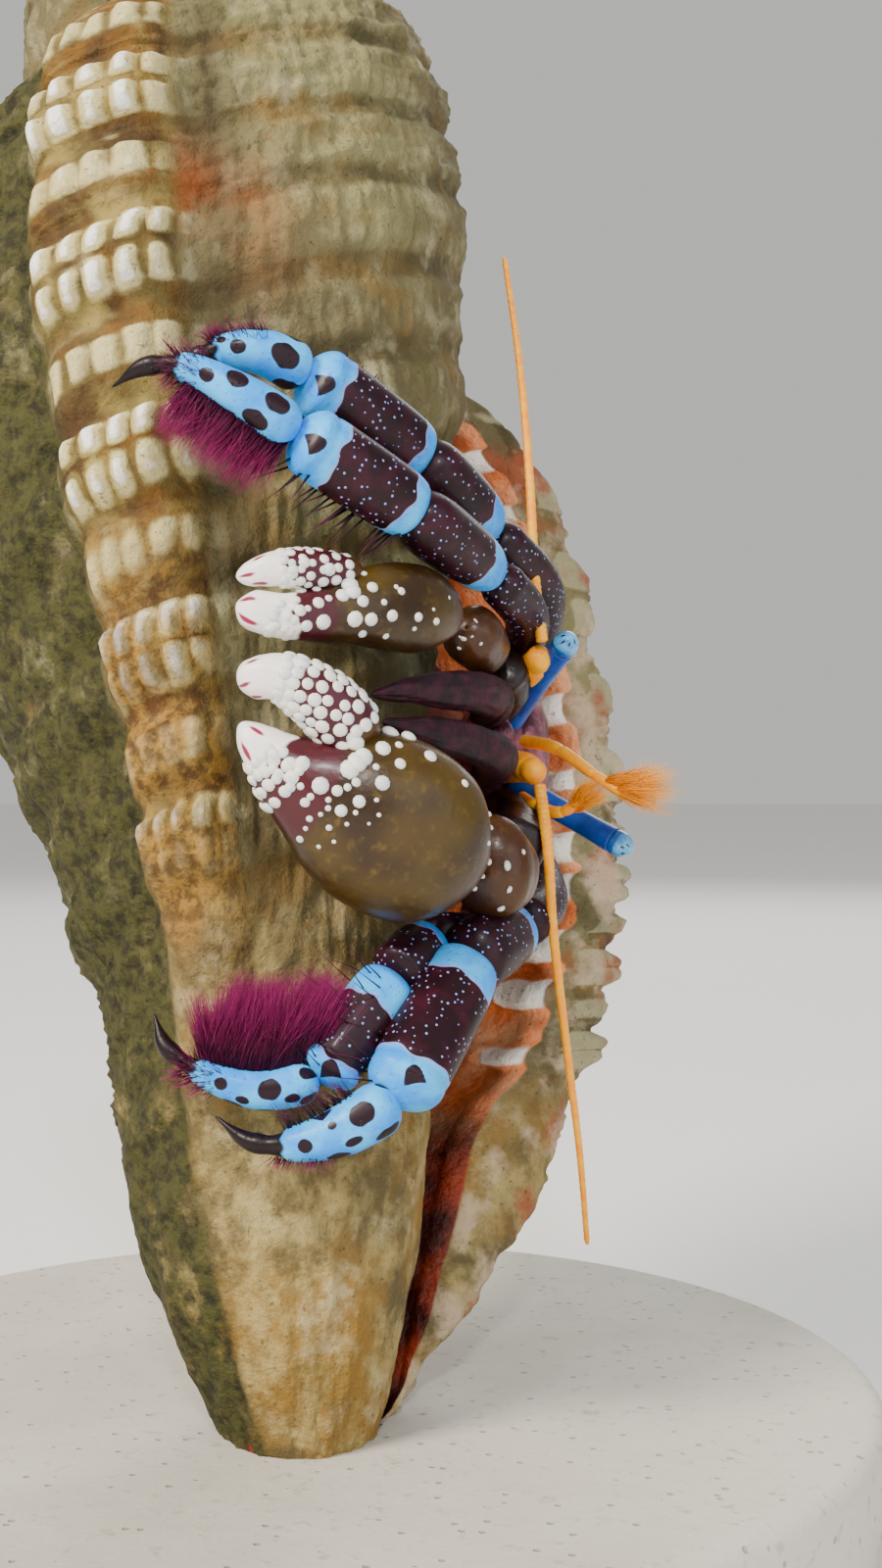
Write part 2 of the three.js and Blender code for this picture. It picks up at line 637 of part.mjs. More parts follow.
// One walking leg, from the claw back to the hip.
function walkingLeg(name, leg) {
  const g = leg.girth;
  const dactyl = [
    [...leg.ankle, 0.74 * g, 0.72 * g],
    [...leg.instep, 0.64 * g, 0.62 * g],
    [...leg.toe, 0.4 * g, 0.4 * g],
    [...leg.nail, NAIL_RADIUS, NAIL_RADIUS],
    [...leg.tip, TOE_RADIUS, TOE_RADIUS],
  ];
  const straight = (from, to, sizes) => sizes.map(([share, wide, deep]) => {
    const place = between(from, to, share);
    return [...place, wide * g, deep * g];
  });
  const propodus = straight(leg.wrist, leg.ankle, PROPODUS_FORM);
  const carpus = straight(leg.knee, leg.wrist, CARPUS_FORM);
  const merus = [
    [...leg.hip, 0.66 * g, 0.6 * g],
    [...leg.bend, 0.72 * g, 0.7 * g],
    [...between(leg.knee, leg.bend, 0.04), 0.7 * g, 0.66 * g],
  ];
  const options = { corners: 7, steps: 4 };
  return [
    settle(`leg_${name}_dactyl`, dactyl, LEG_BLUE, { ...options, steps: 8, round: 0.06 }),
    settle(`leg_${name}_propodus`, propodus, LEG_DARK, options),
    settle(`leg_${name}_carpus`, carpus, LEG_DARK, options),
    settle(`leg_${name}_merus`, merus, LEG_DARK, options),
  ];
}

// Rounded tubercles scattered over the front of a claw segment.
function tubercles(rows, count, from, to) {
  const path = new THREE.CatmullRomCurve3(rows.map(v3), false, 'centripetal');
  const girth = new THREE.SplineCurve(rows.map((row) => new THREE.Vector2(row[3], row[4])));
  const domes = [];
  for (let i = 0; i < count; i += 1) {
    const u = from + ((to - from) * (i + 0.5)) / count;
    const angle = (TUBERCLE_FROM + ((i * 137.5) % TUBERCLE_SPAN)) * DEG;
    const tangent = path.getTangent(u);
    const deep = FACING.clone().addScaledVector(tangent, -FACING.dot(tangent)).normalize();
    const wide = new THREE.Vector3().crossVectors(tangent, deep);
    const reach = girth.getPoint(u);
    const place = path.getPoint(u)
      .addScaledVector(wide, Math.cos(angle) * reach.x)
      .addScaledVector(deep, -Math.sin(angle) * reach.y);
    const dome = new THREE.OctahedronGeometry(TUBERCLE_RADIUS * (1.1 - 0.25 * ((i * 0.618) % 1)));
    dome.translate(place.x, place.y, place.z);
    domes.push(solid(dome));
  }
  return domes;
}

function claw(side, rows, count) {
  const finger = (grow) => {
    const body = limb(rows.finger, { grow, corners: 9, steps: 7 });
    return grow ? body : union([body, ...tubercles(rows.finger, count, 0.2, 0.72)]);
  };
  const palm = (grow) => {
    const body = limb(rows.palm, { grow, corners: 10, steps: 7 });
    return grow ? body : union([body, ...tubercles(rows.palm, count, 0.35, 0.8)]);
  };
  return [
    settle(`claw_${side}_finger`, rows.finger, FINGER_WHITE, { shape: finger }),
    settle(`claw_${side}_palm`, rows.palm, CLAW_OLIVE, { shape: palm }),
    settle(`claw_${side}_carpus`, rows.carpus, CLAW_RUST, { corners: 9, steps: 4 }),
    settle(`claw_${side}_merus`, rows.merus, LEG_DARK, { corners: 7, steps: 3 }),
  ];
}

function eye(side, { base, tip }) {
  const length = v3(base).distanceTo(v3(tip));
  const collar = 1 - CORNEA_LENGTH / length;
  const stalk = [0, 0.3, 0.75, 1].map((share) => {
    const waist = EYESTALK_RADIUS * (1.12 - 0.18 * Math.sin(Math.PI * share));
    return [...between(base, tip, share * (collar - GAP / length)), waist, waist];
  });
  const cornea = [0, 0.5, 1].map((share) => {
    const radius = EYESTALK_RADIUS * (1.04 - 0.1 * share);
    return [...between(base, tip, collar + share * (1 - collar)), radius, radius];
  });
  return [
    settle(`cornea_${side}`, cornea, CORNEA_BLUE, { corners: 8, steps: 4, round: 0.6 }),
    settle(`eyestalk_${side}`, stalk, EYE_BLUE, { corners: 8, steps: 4, round: 0.05 }),
  ];
}

function feelers(side, { peduncle, flagellum }) {
  const lash = withRadii(flagellum, FLAGELLUM_BASE, FLAGELLUM_TIP);
  const stem = withRadii(ANTENNULES[side], ANTENNULE_RADIUS, ANTENNULE_RADIUS * 0.8);
  return [
    settle(`antenna_${side}_flagellum`, lash, FEELER_ORANGE, { corners: 5, steps: 9, round: 0.02 }),
    settle(`antenna_${side}_peduncle`, peduncle, FEELER_ORANGE, { corners: 7, steps: 4 }),
    settle(`antennule_${side}`, stem, FEELER_ORANGE, { corners: 5, steps: 7, round: 0.03 }),
  ];
}

function crabBody() {
  const shield = THORAX.map(([x, y, z, wide, deep]) => {
    const lift = SHIELD_LIFT * (deep / THORAX_DEPTH);
    return [x + lift, y, z, wide * 0.92, SHIELD_THICKNESS];
  });
  return [
    settle('carapace_shield', shield, BODY_MAUVE, { face: BACKWARD, corners: 8, steps: 5 }),
    settle('cephalothorax', THORAX, BODY_MAUVE, { face: BACKWARD, corners: 10, steps: 5 }),
  ];
}

// The soft abdomen, coiled into the shell and made in the shell's frame.
function abdomen(thoraxEnd) {
  const coil = range(-ABDOMEN_START, -ABDOMEN_END, 5).map((theta) => {
    const depth = whorlDepth(theta, 0.4);
    const middle = (whorlRadius(theta, 0.4) - WALL + innerRadius(theta, depth)) / 2;
    const place = onAxis(theta, middle, depth);
    const share = (theta + ABDOMEN_START) / (ABDOMEN_START - ABDOMEN_END);
    return [place.x, place.y, place.z, 3.4 - 2.0 * share, 2.0 - share];
  });
  const rows = [[thoraxEnd.x, thoraxEnd.y, thoraxEnd.z, 2.2, 1.9], ...coil];
  return limb(rows, { face: BACKWARD, corners: 7, steps: 8 }).intersect(cavity(2 * GAP));
}

// ---------------------------------------------------------------- the stone base
function stoneBase(room) {
  const rim = BASE_RADIUS - BASE_BEVEL;
  const slab = new THREE.LatheGeometry([
    [0, 0], [rim, 0], [BASE_RADIUS, BASE_BEVEL], [BASE_RADIUS, BASE_THICKNESS - BASE_BEVEL],
    [rim, BASE_THICKNESS], [0, BASE_THICKNESS],
  ].map(([x, y]) => new THREE.Vector2(x, y)), 32);
  slab.rotateX(Math.PI / 2);
  slab.translate(BASE_CENTRE.x, BASE_CENTRE.y, BASE_CENTRE.z);
  return solid(slab).subtract(room);
}

// ---------------------------------------------------------------- the whole specimen
const shell = new THREE.Group();
shell.rotation.copy(SHELL_LEAN);
shell.position.copy(new THREE.Vector3(0, 0, SHELL_HEIGHT).applyEuler(SHELL_LEAN).add(CANAL_FOOT));
shell.updateMatrix();
const intoShell = shell.matrix.clone().invert();

// Room for the foot of the canal: its own profile, turned about the shell's axis.
function footRoom() {
  const side = range(0.88, 1, 4).map((t) => WHORL_PROFILE.getPoint(t));
  const profile = [
    new THREE.Vector2(0, -side[0].y),
    ...side.map(({ x, y }) => new THREE.Vector2(x + RECESS_SLACK, -y - 2 * GAP)),
    new THREE.Vector2(0, -SHELL_HEIGHT - 2 * GAP),
  ];
  const room = new THREE.LatheGeometry(profile, 20);
  room.rotateX(Math.PI / 2);
  return solid(room).transform(shell.matrix.elements);
}

const lastWhorlSolid = lastWhorl().subtract(cavity()).subtract(canalGroove());
const upper = lastWhorlSolid.trimByPlane([0, 0, 1], -CANAL_TOP);
const lower = lastWhorlSolid.trimByPlane([0, 0, -1], CANAL_TOP + GAP);

shell.add(
  mesh('shell_spire', largest(spire()), SHELL_TAN),
  mesh('shell_body_whorl', largest(upper), SHELL_TAN),
  mesh('shell_siphonal_canal', largest(lower), CANAL_OCHRE),
  mesh('shell_outer_lip', largest(outerLip()), SHELL_ORANGE),
  mesh('shell_varix', varix(), SHELL_PALE),
);

const crab = new THREE.Group();
crab.add(
  ...crabBody(),
  ...eye('right', EYES.right),
  ...eye('left', EYES.left),
  ...feelers('right', FEELERS.right),
  ...feelers('left', FEELERS.left),
  ...claw('left', CLAWS.left, 6),
  ...claw('right', CLAWS.right, 4),
  ...Object.entries(LEGS).flatMap(([name, leg]) => walkingLeg(name, leg)),
  settle('maxilliped_right', MAXILLIPEDS.right, MOUTH_MAROON, { corners: 7, steps: 5 }),
  settle('maxilliped_left', MAXILLIPEDS.left, MOUTH_MAROON, { corners: 7, steps: 5 }),
  settle('mouth', MOUTH, MOUTH_MAROON, { face: BACKWARD, corners: 8, steps: 4 }),
  ...Object.entries(SMALL_LEGS).map(([name, points]) => {
    const rows = withRadii(points, SMALL_LEG_RADIUS, SMALL_TOE_RADIUS);
    return settle(`leg_${name}`, rows, BODY_MAUVE, { corners: 5, steps: 4 });
  }),
);

const thoraxEnd = v3(THORAX[THORAX.length - 1]).add(new THREE.Vector3(-0.5, 1.3, 0));
shell.add(mesh('abdomen', largest(abdomen(thoraxEnd.applyMatrix4(intoShell))), ABDOMEN_PINK));

const specimen = new THREE.Group();
specimen.add(shell, crab, mesh('stand_base', stoneBase(footRoom()), BASE_STONE));
specimen.position.copy(BASE_CENTRE).negate();

const root = new THREE.Group();
root.add(specimen);

export default root;
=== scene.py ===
"""Elegant hermit crab in a triton shell, life size, on a round stone base.

World frame: metres, +Z up, origin in the middle of the base's underside. The crab faces -Y with its back to
+X and its left side down. Shapes are worked out in millimetres in the specimen's own frame, whose place in
the world is SPECIMEN_PLACE.
"""

import logging
import math
from collections.abc import Callable, Sequence
from dataclasses import dataclass, field
from enum import Enum

import bpy
import numpy as np
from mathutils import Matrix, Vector


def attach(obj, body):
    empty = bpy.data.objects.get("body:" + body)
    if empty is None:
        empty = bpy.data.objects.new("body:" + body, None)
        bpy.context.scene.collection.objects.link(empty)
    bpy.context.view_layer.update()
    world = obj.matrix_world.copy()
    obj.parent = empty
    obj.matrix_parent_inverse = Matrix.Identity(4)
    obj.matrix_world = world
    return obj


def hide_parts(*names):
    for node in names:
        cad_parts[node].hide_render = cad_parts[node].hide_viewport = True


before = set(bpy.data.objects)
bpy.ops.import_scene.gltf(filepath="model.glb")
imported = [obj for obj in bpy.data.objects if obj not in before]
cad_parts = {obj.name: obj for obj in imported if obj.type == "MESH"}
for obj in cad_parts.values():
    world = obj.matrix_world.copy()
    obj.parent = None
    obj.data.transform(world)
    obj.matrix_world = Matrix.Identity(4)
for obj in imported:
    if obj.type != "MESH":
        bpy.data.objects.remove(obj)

LOG = logging.getLogger("hermit_crab")
Array = np.ndarray
Point = tuple[float, float, float]
Rows = tuple[tuple[float, ...], ...]
Relief = Callable[[Array, Array], Array]
DEG = math.pi / 180
TURN = 2 * math.pi
MM = 0.001
SPECIMEN_PLACE = np.array([8.0, 0.0, 42.4])
TOWARDS_FRONT = (0.0, -1.0, 0.0)
TOWARDS_BACK = (1.0, 0.0, 0.0)
FAR = 9.0  # mm, further than any marking reaches


# ---- numbers
def smooth(low: float, high: float, value: Array) -> Array:
    """Ease from 0 at low to 1 at high along 3x^2 - 2x^3."""
    share = np.clip((np.asarray(value, float) - low) / (high - low), 0.0, 1.0)
    return share * share * (3.0 - 2.0 * share)


def bell(distance: Array, width: float) -> Array:
    """A bell curve of the distance: 1 in the middle and 1/e at the width."""
    return np.exp(-((np.asarray(distance, float) / width) ** 2))


def unit(vectors: Array) -> Array:
    """Vectors scaled to length one along the last axis."""
    return vectors / np.maximum(np.linalg.norm(vectors, axis=-1, keepdims=True), 1e-12)


def ripple(x: Array, y: Array, seed: int, octaves: int = 4) -> Array:
    """Smooth unevenness between about -1 and 1.

    A sum of sine waves over (x, y), each octave twice as fine and a little over half as high as the last,
    with directions and phases drawn from the seed.

    Args:
        x: first coordinate, where a step of one is about one hump.
        y: second coordinate.
        seed: picks the pattern.
        octaves: how many doublings of fineness there are.

    Returns:
        The unevenness at each place.
    """
    draw = np.random.default_rng(seed)
    total = np.zeros(np.broadcast(x, y).shape)
    height = 0.5
    for octave in range(octaves):
        for _ in range(3):
            heading = draw.uniform(0, TURN)
            phase = draw.uniform(0, TURN)
            pace = 2.0**octave * draw.uniform(2.2, 3.8)
            wave = np.sin(pace * (np.cos(heading) * x + np.sin(heading) * y) + phase)
            total = total + height * wave / 1.7
        height *= 0.55
    return total


def cubic(near: Array, far: Array, rise: Array, fall: Array, w: Array) -> Array:
    """The cubic in w that goes from near, with slope rise, to far, with slope fall."""
    step = far - near
    return near + w * rise + w * w * (3 * step - 2 * rise - fall) + w**3 * (rise + fall - 2 * step)


def uniform_spline(knots: Array, share: Array) -> Array:
    """A uniform Catmull-Rom curve through the knots, with its end knots doubled.

    Each span is the cubic through its two knots whose slopes are half the step between the neighbours.

    Args:
        knots: (count, size) values.
        share: places from 0 to 1.

    Returns:
        Values with one more axis than share.
    """
    count = len(knots)
    place = np.clip(np.asarray(share, float), 0, 1) * (count - 1)
    span = np.minimum(place.astype(int), count - 2)
    w = (place - span)[..., None]
    before = knots[np.maximum(span - 1, 0)]
    near = knots[span]
    far = knots[span + 1]
    after = knots[np.minimum(span + 2, count - 1)]
    rise = (far - before) / 2
    fall = (after - near) / 2
    return cubic(near, far, rise, fall, w)


def limb_path(points: Array, share: Array) -> Array:
    """A centripetal Catmull-Rom curve through the points.

    Spans are paced by the square root of their length, and the first and last slopes run on straight.

    Args:
        points: (count, 3) places in mm.
        share: places from 0 to 1, evenly paced from point to point.

    Returns:
        (n, 3) places on the curve.
    """
    count = len(points)
    whole = np.vstack([2 * points[0] - points[1], points, 2 * points[-1] - points[-2]])
    place = np.clip(np.asarray(share, float), 0, 1) * (count - 1)
    span = np.minimum(place.astype(int), count - 2)
    w = (place - span)[:, None]
    a, b, c, d = (whole[span + k] for k in range(4))
    first, middle, last = (
        np.maximum(np.linalg.norm(q - p, axis=1, keepdims=True) ** 0.5, 1e-4)
        for p, q in ((a, b), (b, c), (c, d))
    )
    start = ((b - a) / first - (c - a) / (first + middle) + (c - b) / middle) * middle
    end = ((c - b) / middle - (d - b) / (middle + last) + (d - c) / last) * middle
    return cubic(b, c, start, end, w)


# ---- meshes
@dataclass
class Surface:
    """A mesh as arrays: places in mm in the specimen's frame, four-sided and three-sided faces, and values
    that its material reads at each place."""

    points: Array
    quads: Array = field(default_factory=lambda: np.zeros((0, 4), int))
    tris: Array = field(default_factory=lambda: np.zeros((0, 3), int))
    values: dict[str, Array] = field(default_factory=dict)
    roots: Array | None = None

    def volume(self) -> float:
        """Signed volume: a third of the sum over the faces of area vector times place."""
        halves = [self.tris, self.quads[:, [0, 1, 2]], self.quads[:, [0, 2, 3]]]
        total = 0.0
        for faces in halves:
            a, b, c = (self.points[faces[:, k]] for k in range(3))
            total += float(np.einsum("ij,ij->", a, np.cross(b, c))) / 6
        return total

    def outward(self) -> "Surface":
        """The same surface with its faces pointing out."""
        if self.volume() < 0:
            self.quads = self.quads[:, ::-1]
            self.tris = self.tris[:, ::-1]
        return self

    def build(self, name: str) -> bpy.types.Object:
        """Put the surface into a mesh object at the origin.

        Args:
            name: the piece's name.

        Returns:
            The new object, in metres in the world frame.
        """
        mesh = bpy.data.meshes.new(name)
        world = (self.points + SPECIMEN_PLACE) * MM
        sizes = np.concatenate([np.full(len(self.quads), 4), np.full(len(self.tris), 3)])
        corners = np.concatenate([self.quads.ravel(), self.tris.ravel()]).astype(np.int32)
        starts = np.concatenate([[0], np.cumsum(sizes)[:-1]]).astype(np.int32)
        mesh.vertices.add(len(world))
        mesh.vertices.foreach_set("co", world.astype(np.float32).ravel())
        mesh.loops.add(len(corners))
        mesh.loops.foreach_set("vertex_index", corners)
        mesh.polygons.add(len(sizes))
        mesh.polygons.foreach_set("loop_start", starts)
        mesh.polygons.foreach_set("use_smooth", np.ones(len(sizes), bool))
        mesh.update(calc_edges=True)
        for label, value in self.values.items():
            layer = mesh.attributes.new(label, "FLOAT", "POINT")
            layer.data.foreach_set("value", np.asarray(value, np.float32).ravel())
        if self.roots is not None:
            unwrap = mesh.uv_layers.new(name="OFBake")
            unwrap.data.foreach_set("uv", self.roots[corners].astype(np.float32).ravel())
        mesh.validate()
        piece = bpy.data.objects.new(name, mesh)
        bpy.context.scene.collection.objects.link(piece)
        return piece


def merged(parts: Sequence[Surface]) -> Surface:
    """Several surfaces without values as one."""
    offsets = np.cumsum([0] + [len(part.points) for part in parts[:-1]])
    return Surface(
        np.concatenate([part.points for part in parts]),
        np.concatenate([part.quads + start for part, start in zip(parts, offsets)]),
        np.concatenate([part.tris + start for part, start in zip(parts, offsets)]),
    )


def ring_faces(rings: int, corners: int, closed: bool = True) -> Array:
    """Four-sided faces of a grid of rings, which close round on themselves when closed is true."""
    row = np.arange(rings - 1)[:, None] * corners
    here = np.arange(corners if closed else corners - 1)[None, :]
    after = (here + 1) % corners
    faces = np.stack([row + here, row + after, row + corners + after, row + corners + here], axis=-1)
    return faces.reshape(-1, 4)


def stamped(places: Array, quads: Array, tris: Array) -> Surface:
    """Copies of a small mesh, from (copies, corners, 3) places and the faces of the first copy."""
    base = np.arange(len(places))[:, None, None] * places.shape[1]
    return Surface(places.reshape(-1, 3), (base + quads).reshape(-1, 4), (base + tris).reshape(-1, 3))


def capped_tube(rings: Array, values: dict[str, Array] | None = None) -> Surface:
    """A tube of rings closed by a fan to the middle of its first and last ring.

    Args:
        rings: (rings, corners, 3) places.
        values: arrays of (rings, corners) for the material.

    Returns:
        A closed surface.
    """
    count, corners = rings.shape[:2]
    points = np.concatenate([rings.reshape(-1, 3), [rings[0].mean(0), rings[-1].mean(0)]])
    here = np.arange(corners)
    after = (here + 1) % corners
    last = (count - 1) * corners
    start = np.stack([after, here, np.full(corners, count * corners)], axis=1)
    end = np.stack([last + here, last + after, np.full(corners, count * corners + 1)], axis=1)
    kept = {
        label: np.concatenate([value.ravel(), [value[0].mean(), value[-1].mean()]])
        for label, value in (values or {}).items()
    }
    return Surface(points, ring_faces(count, corners), np.concatenate([start, end]), kept)


# ---- materials
Socket = bpy.types.NodeSocket


def colour(code: str) -> tuple[float, float, float, float]:
    """A six-figure sRGB hex colour as linear light with full cover."""
    parts = (int(code[k : k + 2], 16) / 255 for k in (1, 3, 5))
    return (*(p / 12.92 if p <= 0.04045 else ((p + 0.055) / 1.055) ** 2.4 for p in parts), 1.0)


def add(
    tree: bpy.types.NodeTree, kind: str, settings: dict | None = None, sockets: dict | None = None
) -> bpy.types.Node:
    """Add a node with its settings and links.

    Args:
        tree: the material's node tree.
        kind: the node's type after "ShaderNode".
        settings: its properties.
        sockets: its inputs by name or number, each a value or another node's output to link.

    Returns:
        The new node.
    """
    made = tree.nodes.new(f"ShaderNode{kind}")
    for label, value in (settings or {}).items():
        setattr(made, label, value)
    for label, value in (sockets or {}).items():
        if isinstance(value, Socket):
            tree.links.new(value, made.inputs[label])
        else:
            made.inputs[label].default_value = value
    return made


class Recipe:
    """A material being put together: its tree, its shader, and short ways to read and mix patterns."""

    def __init__(self, name: str) -> None:
        """Start a material of that name with one Principled shader."""
        self.material = bpy.data.materials.new(name)
        self.material.use_nodes = True
        self.tree = self.material.node_tree
        self.shader = self.tree.nodes["Principled BSDF"]
        self.place = add(self.tree, "TexCoord").outputs["Object"]

    def value(self, label: str) -> Socket:
        """A value stored at each place of the mesh."""
        return add(self.tree, "Attribute", {"attribute_name": label}).outputs["Fac"]

    def noise(
        self, size_mm: float, detail: float = 3.0, rough: float = 0.55, stretch: Point = (1, 1, 1)
    ) -> Socket:
        """Cloudy noise whose patches are about size_mm across, made finer along the axes by stretch."""
        scaled = add(self.tree, "Mapping", None, {"Vector": self.place, "Scale": stretch})
        sockets = {"Vector": scaled.outputs[0], "Scale": 1 / (size_mm * MM)}
        sockets |= {"Detail": detail, "Roughness": rough}
        return add(self.tree, "TexNoise", None, sockets).outputs["Fac"]

    def cells(self, size_mm: float, spread: float = 1.0) -> Socket:
        """Distance to the nearest of points scattered about size_mm apart."""
        sockets = {"Vector": self.place, "Scale": 1 / (size_mm * MM), "Randomness": spread}
        return add(self.tree, "TexVoronoi", None, sockets).outputs["Distance"]

    def step(self, value: Socket, low: float, high: float, start: float = 0.0, end: float = 1.0) -> Socket:
        """Ease from start to end as the value goes from low to high."""
        sockets = {"Value": value, "From Min": low, "From Max": high, "To Min": start, "To Max": end}
        return add(self.tree, "MapRange", {"interpolation_type": "SMOOTHSTEP"}, sockets).outputs[0]

    def cloud(
        self, size_mm: float, low: float, high: float, detail: float = 3.0, rough: float = 0.55
    ) -> Socket:
        """Patches about size_mm across: noise eased from 0 at low to 1 at high."""
        return self.step(self.noise(size_mm, detail, rough), low, high)

    def arithmetic(self, operation: str, first: Socket | float, second: Socket | float) -> Socket:
        """Arithmetic on two values."""
        return add(self.tree, "Math", {"operation": operation}, {0: first, 1: second}).outputs[0]

    def times(self, first: Socket, second: Socket | float) -> Socket:
        """One value times another."""
        return self.arithmetic("MULTIPLY", first, second)

    def plus(self, first: Socket, second: Socket | float) -> Socket:
        """One value and another together."""
        return self.arithmetic("ADD", first, second)

    def minus(self, first: Socket, second: Socket | float) -> Socket:
        """One value less another."""
        return self.arithmetic("SUBTRACT", first, second)

    def blend(self, share: Socket, first: Socket | str, second: Socket | str) -> Socket:
        """From the first colour to the second by share. Each is a pattern or a hex code."""
        paints = [colour(paint) if isinstance(paint, str) else paint for paint in (first, second)]
        return add(self.tree, "Mix", {"data_type": "RGBA"}, {0: share, 6: paints[0], 7: paints[1]}).outputs[2]

    def layers(self, paint: Socket, *coats: tuple[Socket, Socket | str]) -> Socket:
        """The paint under coats laid in order, each a share and a colour."""
        for share, coat in coats:
            paint = self.blend(share, paint, coat)
        return paint

    def finish(
        self, paint: Socket, roughness: Socket | float, height: Socket | None, depth_mm: float = 0.05,
        **looks: float,
    ) -> bpy.types.Material:
        """Wire the colour, roughness and relief to the shader.

        Args:
            paint: the base colour.
            roughness: a number or a pattern.
            height: the relief from 0 to 1, or None.
            depth_mm: how deep the relief is.
            looks: other shader sockets, as their names with _ for spaces.

        Returns:
            The finished material.
        """
        self.tree.links.new(paint, self.shader.inputs["Base Color"])
        if isinstance(roughness, Socket):
            self.tree.links.new(roughness, self.shader.inputs["Roughness"])
        else:
            self.shader.inputs["Roughness"].default_value = roughness
        if height is not None:
            sockets = {"Strength": 1.0, "Distance": depth_mm * MM, "Height": height}
            bump = add(self.tree, "Bump", None, sockets)
            self.tree.links.new(bump.outputs[0], self.shader.inputs["Normal"])
        for label, value in looks.items():
            self.shader.inputs[label.replace("_", " ")].default_value = value
        return self.material


@dataclass(frozen=True)
class WeatheredShell:
    """Triton shell, grown aragonite, worn and overgrown: chalky pale beads over tan and brown grooves, the
    grooves' darkness partly painted shade, with painted shade beside the latest old lip's foot, olive algae
    on the far side, a glazed orange lining inside the aperture, and dark red-brown down in the canal's
    groove, partly painted shade. Where a colour has a partner called light, it clouds into that one."""

    tan: str = "#5e5436"
    sand: str = "#807a52"
    # groove colours: the cords' own brown, deepened as painted shade in the grooves
    groove: str = "#3e361c"
    groove_light: str = "#644c22"
    ginger: str = "#745a2a"
    chalk: str = "#b0a984"
    moss: str = "#5a5a2a"
    stain: str = "#8e4204"
    # Painted shade beside the foot of the latest old lip.
    grime: str = "#3a3018"
    rib: str = "#64562a"
    rib_light: str = "#968446"
    bead: str = "#c8ba84"
    white: str = "#fbf8ee"
    # brown colours: the furrows' own brown, deepened as painted shade between the beads
    brown: str = "#3c240a"
    brown_light: str = "#70480e"
    worn: str = "#4e300e"
    worn_light: str = "#96702c"
    canal_dark: str = "#5c5030"
    ochre: str = "#86662a"
    canal_pale: str = "#a5925c"
    canal_worn: str = "#bdae84"
    canal_moss: str = "#5f5a28"
    olive: str = "#211f0a"
    olive_light: str = "#403f18"
    blush: str = "#94472a"
    rim: str = "#c4ad90"
    lining: str = "#e0763a"
    lining_light: str = "#f0b080"
    # slot colours: the canal groove's own red-brown, deepened as painted shade
    slot: str = "#340c05"
    slot_light: str = "#8a2e10"
    tooth: str = "#f6efe2"
    speck: str = "#3a2a14"

    def make(self) -> bpy.types.Material:
        """Mix the colours by the cords, the beads, the place along the shell, and noise at several sizes."""
        r = Recipe("weathered_aragonite_shell")
        broad, middle, fine = r.noise(16, 4), r.noise(4.5, 4), r.noise(0.8, 5, 0.65)
        weed = r.times(r.step(r.value("weed"), 0.1, 0.8), r.cloud(3, 0.2, 0.5, 5, 0.7))
        paint = r.layers(
            self.wall(r, broad, middle),
            (r.step(r.value("old_lip"), 0.1, 0.5), self.old_lip(r, middle, fine)),
            (r.step(r.value("run"), 0.7, 0.8), self.canal(r)),
            (weed, r.blend(r.step(fine, 0.35, 0.6), self.olive, self.olive_light)),
        )
        specks = r.times(r.cloud(0.35, 0.64, 0.72, 2), 0.55)
        paint = r.blend(specks, self.lip(r, paint, middle), self.speck)
        rough = r.step(r.value("glaze"), 0.3, 0.7, 0.74, 0.3)
        height = r.plus(r.times(fine, 0.8), r.times(middle, 0.6))
        return r.finish(paint, rough, height, 0.5, Specular_IOR_Level=0.3)

    def wall(self, r: Recipe, broad: Socket, middle: Socket) -> Socket:
        """Sand and tan clouds, browner grooves between the cords, partly their own brown and partly painted
        shade, chalky, ginger and greenish patches, a rust stain, and painted shade beside the old lip's foot.
        """
        # The deeper the cords' cut, the browner: partly the shell's own brown, partly painted shade.
        groove = r.times(r.step(r.value("cut"), 0.35, 0.8), r.step(middle, 0.3, 0.6, 0.25, 0.8))
        ginger = r.step(r.noise(6.5, 4, 0.6, (1, 1, 1.8)), 0.54, 0.68)
        chalk = r.step(r.plus(r.value("bead"), r.times(r.noise(2.6, 5, 0.62), 0.9)), 0.46, 0.72)
        return r.layers(
            r.blend(r.step(broad, 0.38, 0.62), self.tan, self.sand),
            (groove, r.blend(r.cloud(8, 0.42, 0.6), self.groove, self.groove_light)),
            (r.times(ginger, 0.6), self.ginger),
            (r.times(chalk, 0.6), self.chalk),
            (r.times(r.cloud(5.5, 0.6, 0.7, 4), 0.5), self.moss),
            (r.times(r.value("stain"), r.step(middle, 0.25, 0.5)), self.stain),
            # Painted shade: darker olive-brown beside the old lip's foot, patchy by noise.
            (r.times(r.value("grime"), r.step(middle, 0.3, 0.6, 0.55, 0.95)), self.grime),
        )

    def old_lip(self, r: Recipe, middle: Socket, fine: Socket) -> Socket:
        """Yellowish rib with brown furrows between the beads, partly their own brown and partly painted
        shade, and cream beads whose tops are worn white.
        """
        # Between the beads it turns brown: partly the shell's own colour, partly painted shade.
        furrow = r.times(r.step(r.value("bead"), 0.25, 0.01), r.step(r.noise(3.6, 4), 0.38, 0.58, 0.1, 0.9))
        uneven = r.plus(r.value("bead"), r.times(r.minus(r.noise(2.6, 5), 0.5), 1.2))
        worn = r.times(r.step(r.value("run"), 0.56, 0.66), r.step(middle, 0.36, 0.56, 0.4, 0.85))
        return r.layers(
            r.blend(r.cloud(5, 0.4, 0.62), self.rib, self.rib_light),
            (furrow, r.blend(r.step(middle, 0.42, 0.6), self.brown, self.brown_light)),
            (r.step(uneven, 0.1, 0.55), self.bead),
            (r.step(uneven, 0.68, 1.02), self.white),
            (worn, r.blend(r.step(fine, 0.4, 0.6), self.worn, self.worn_light)),
        )

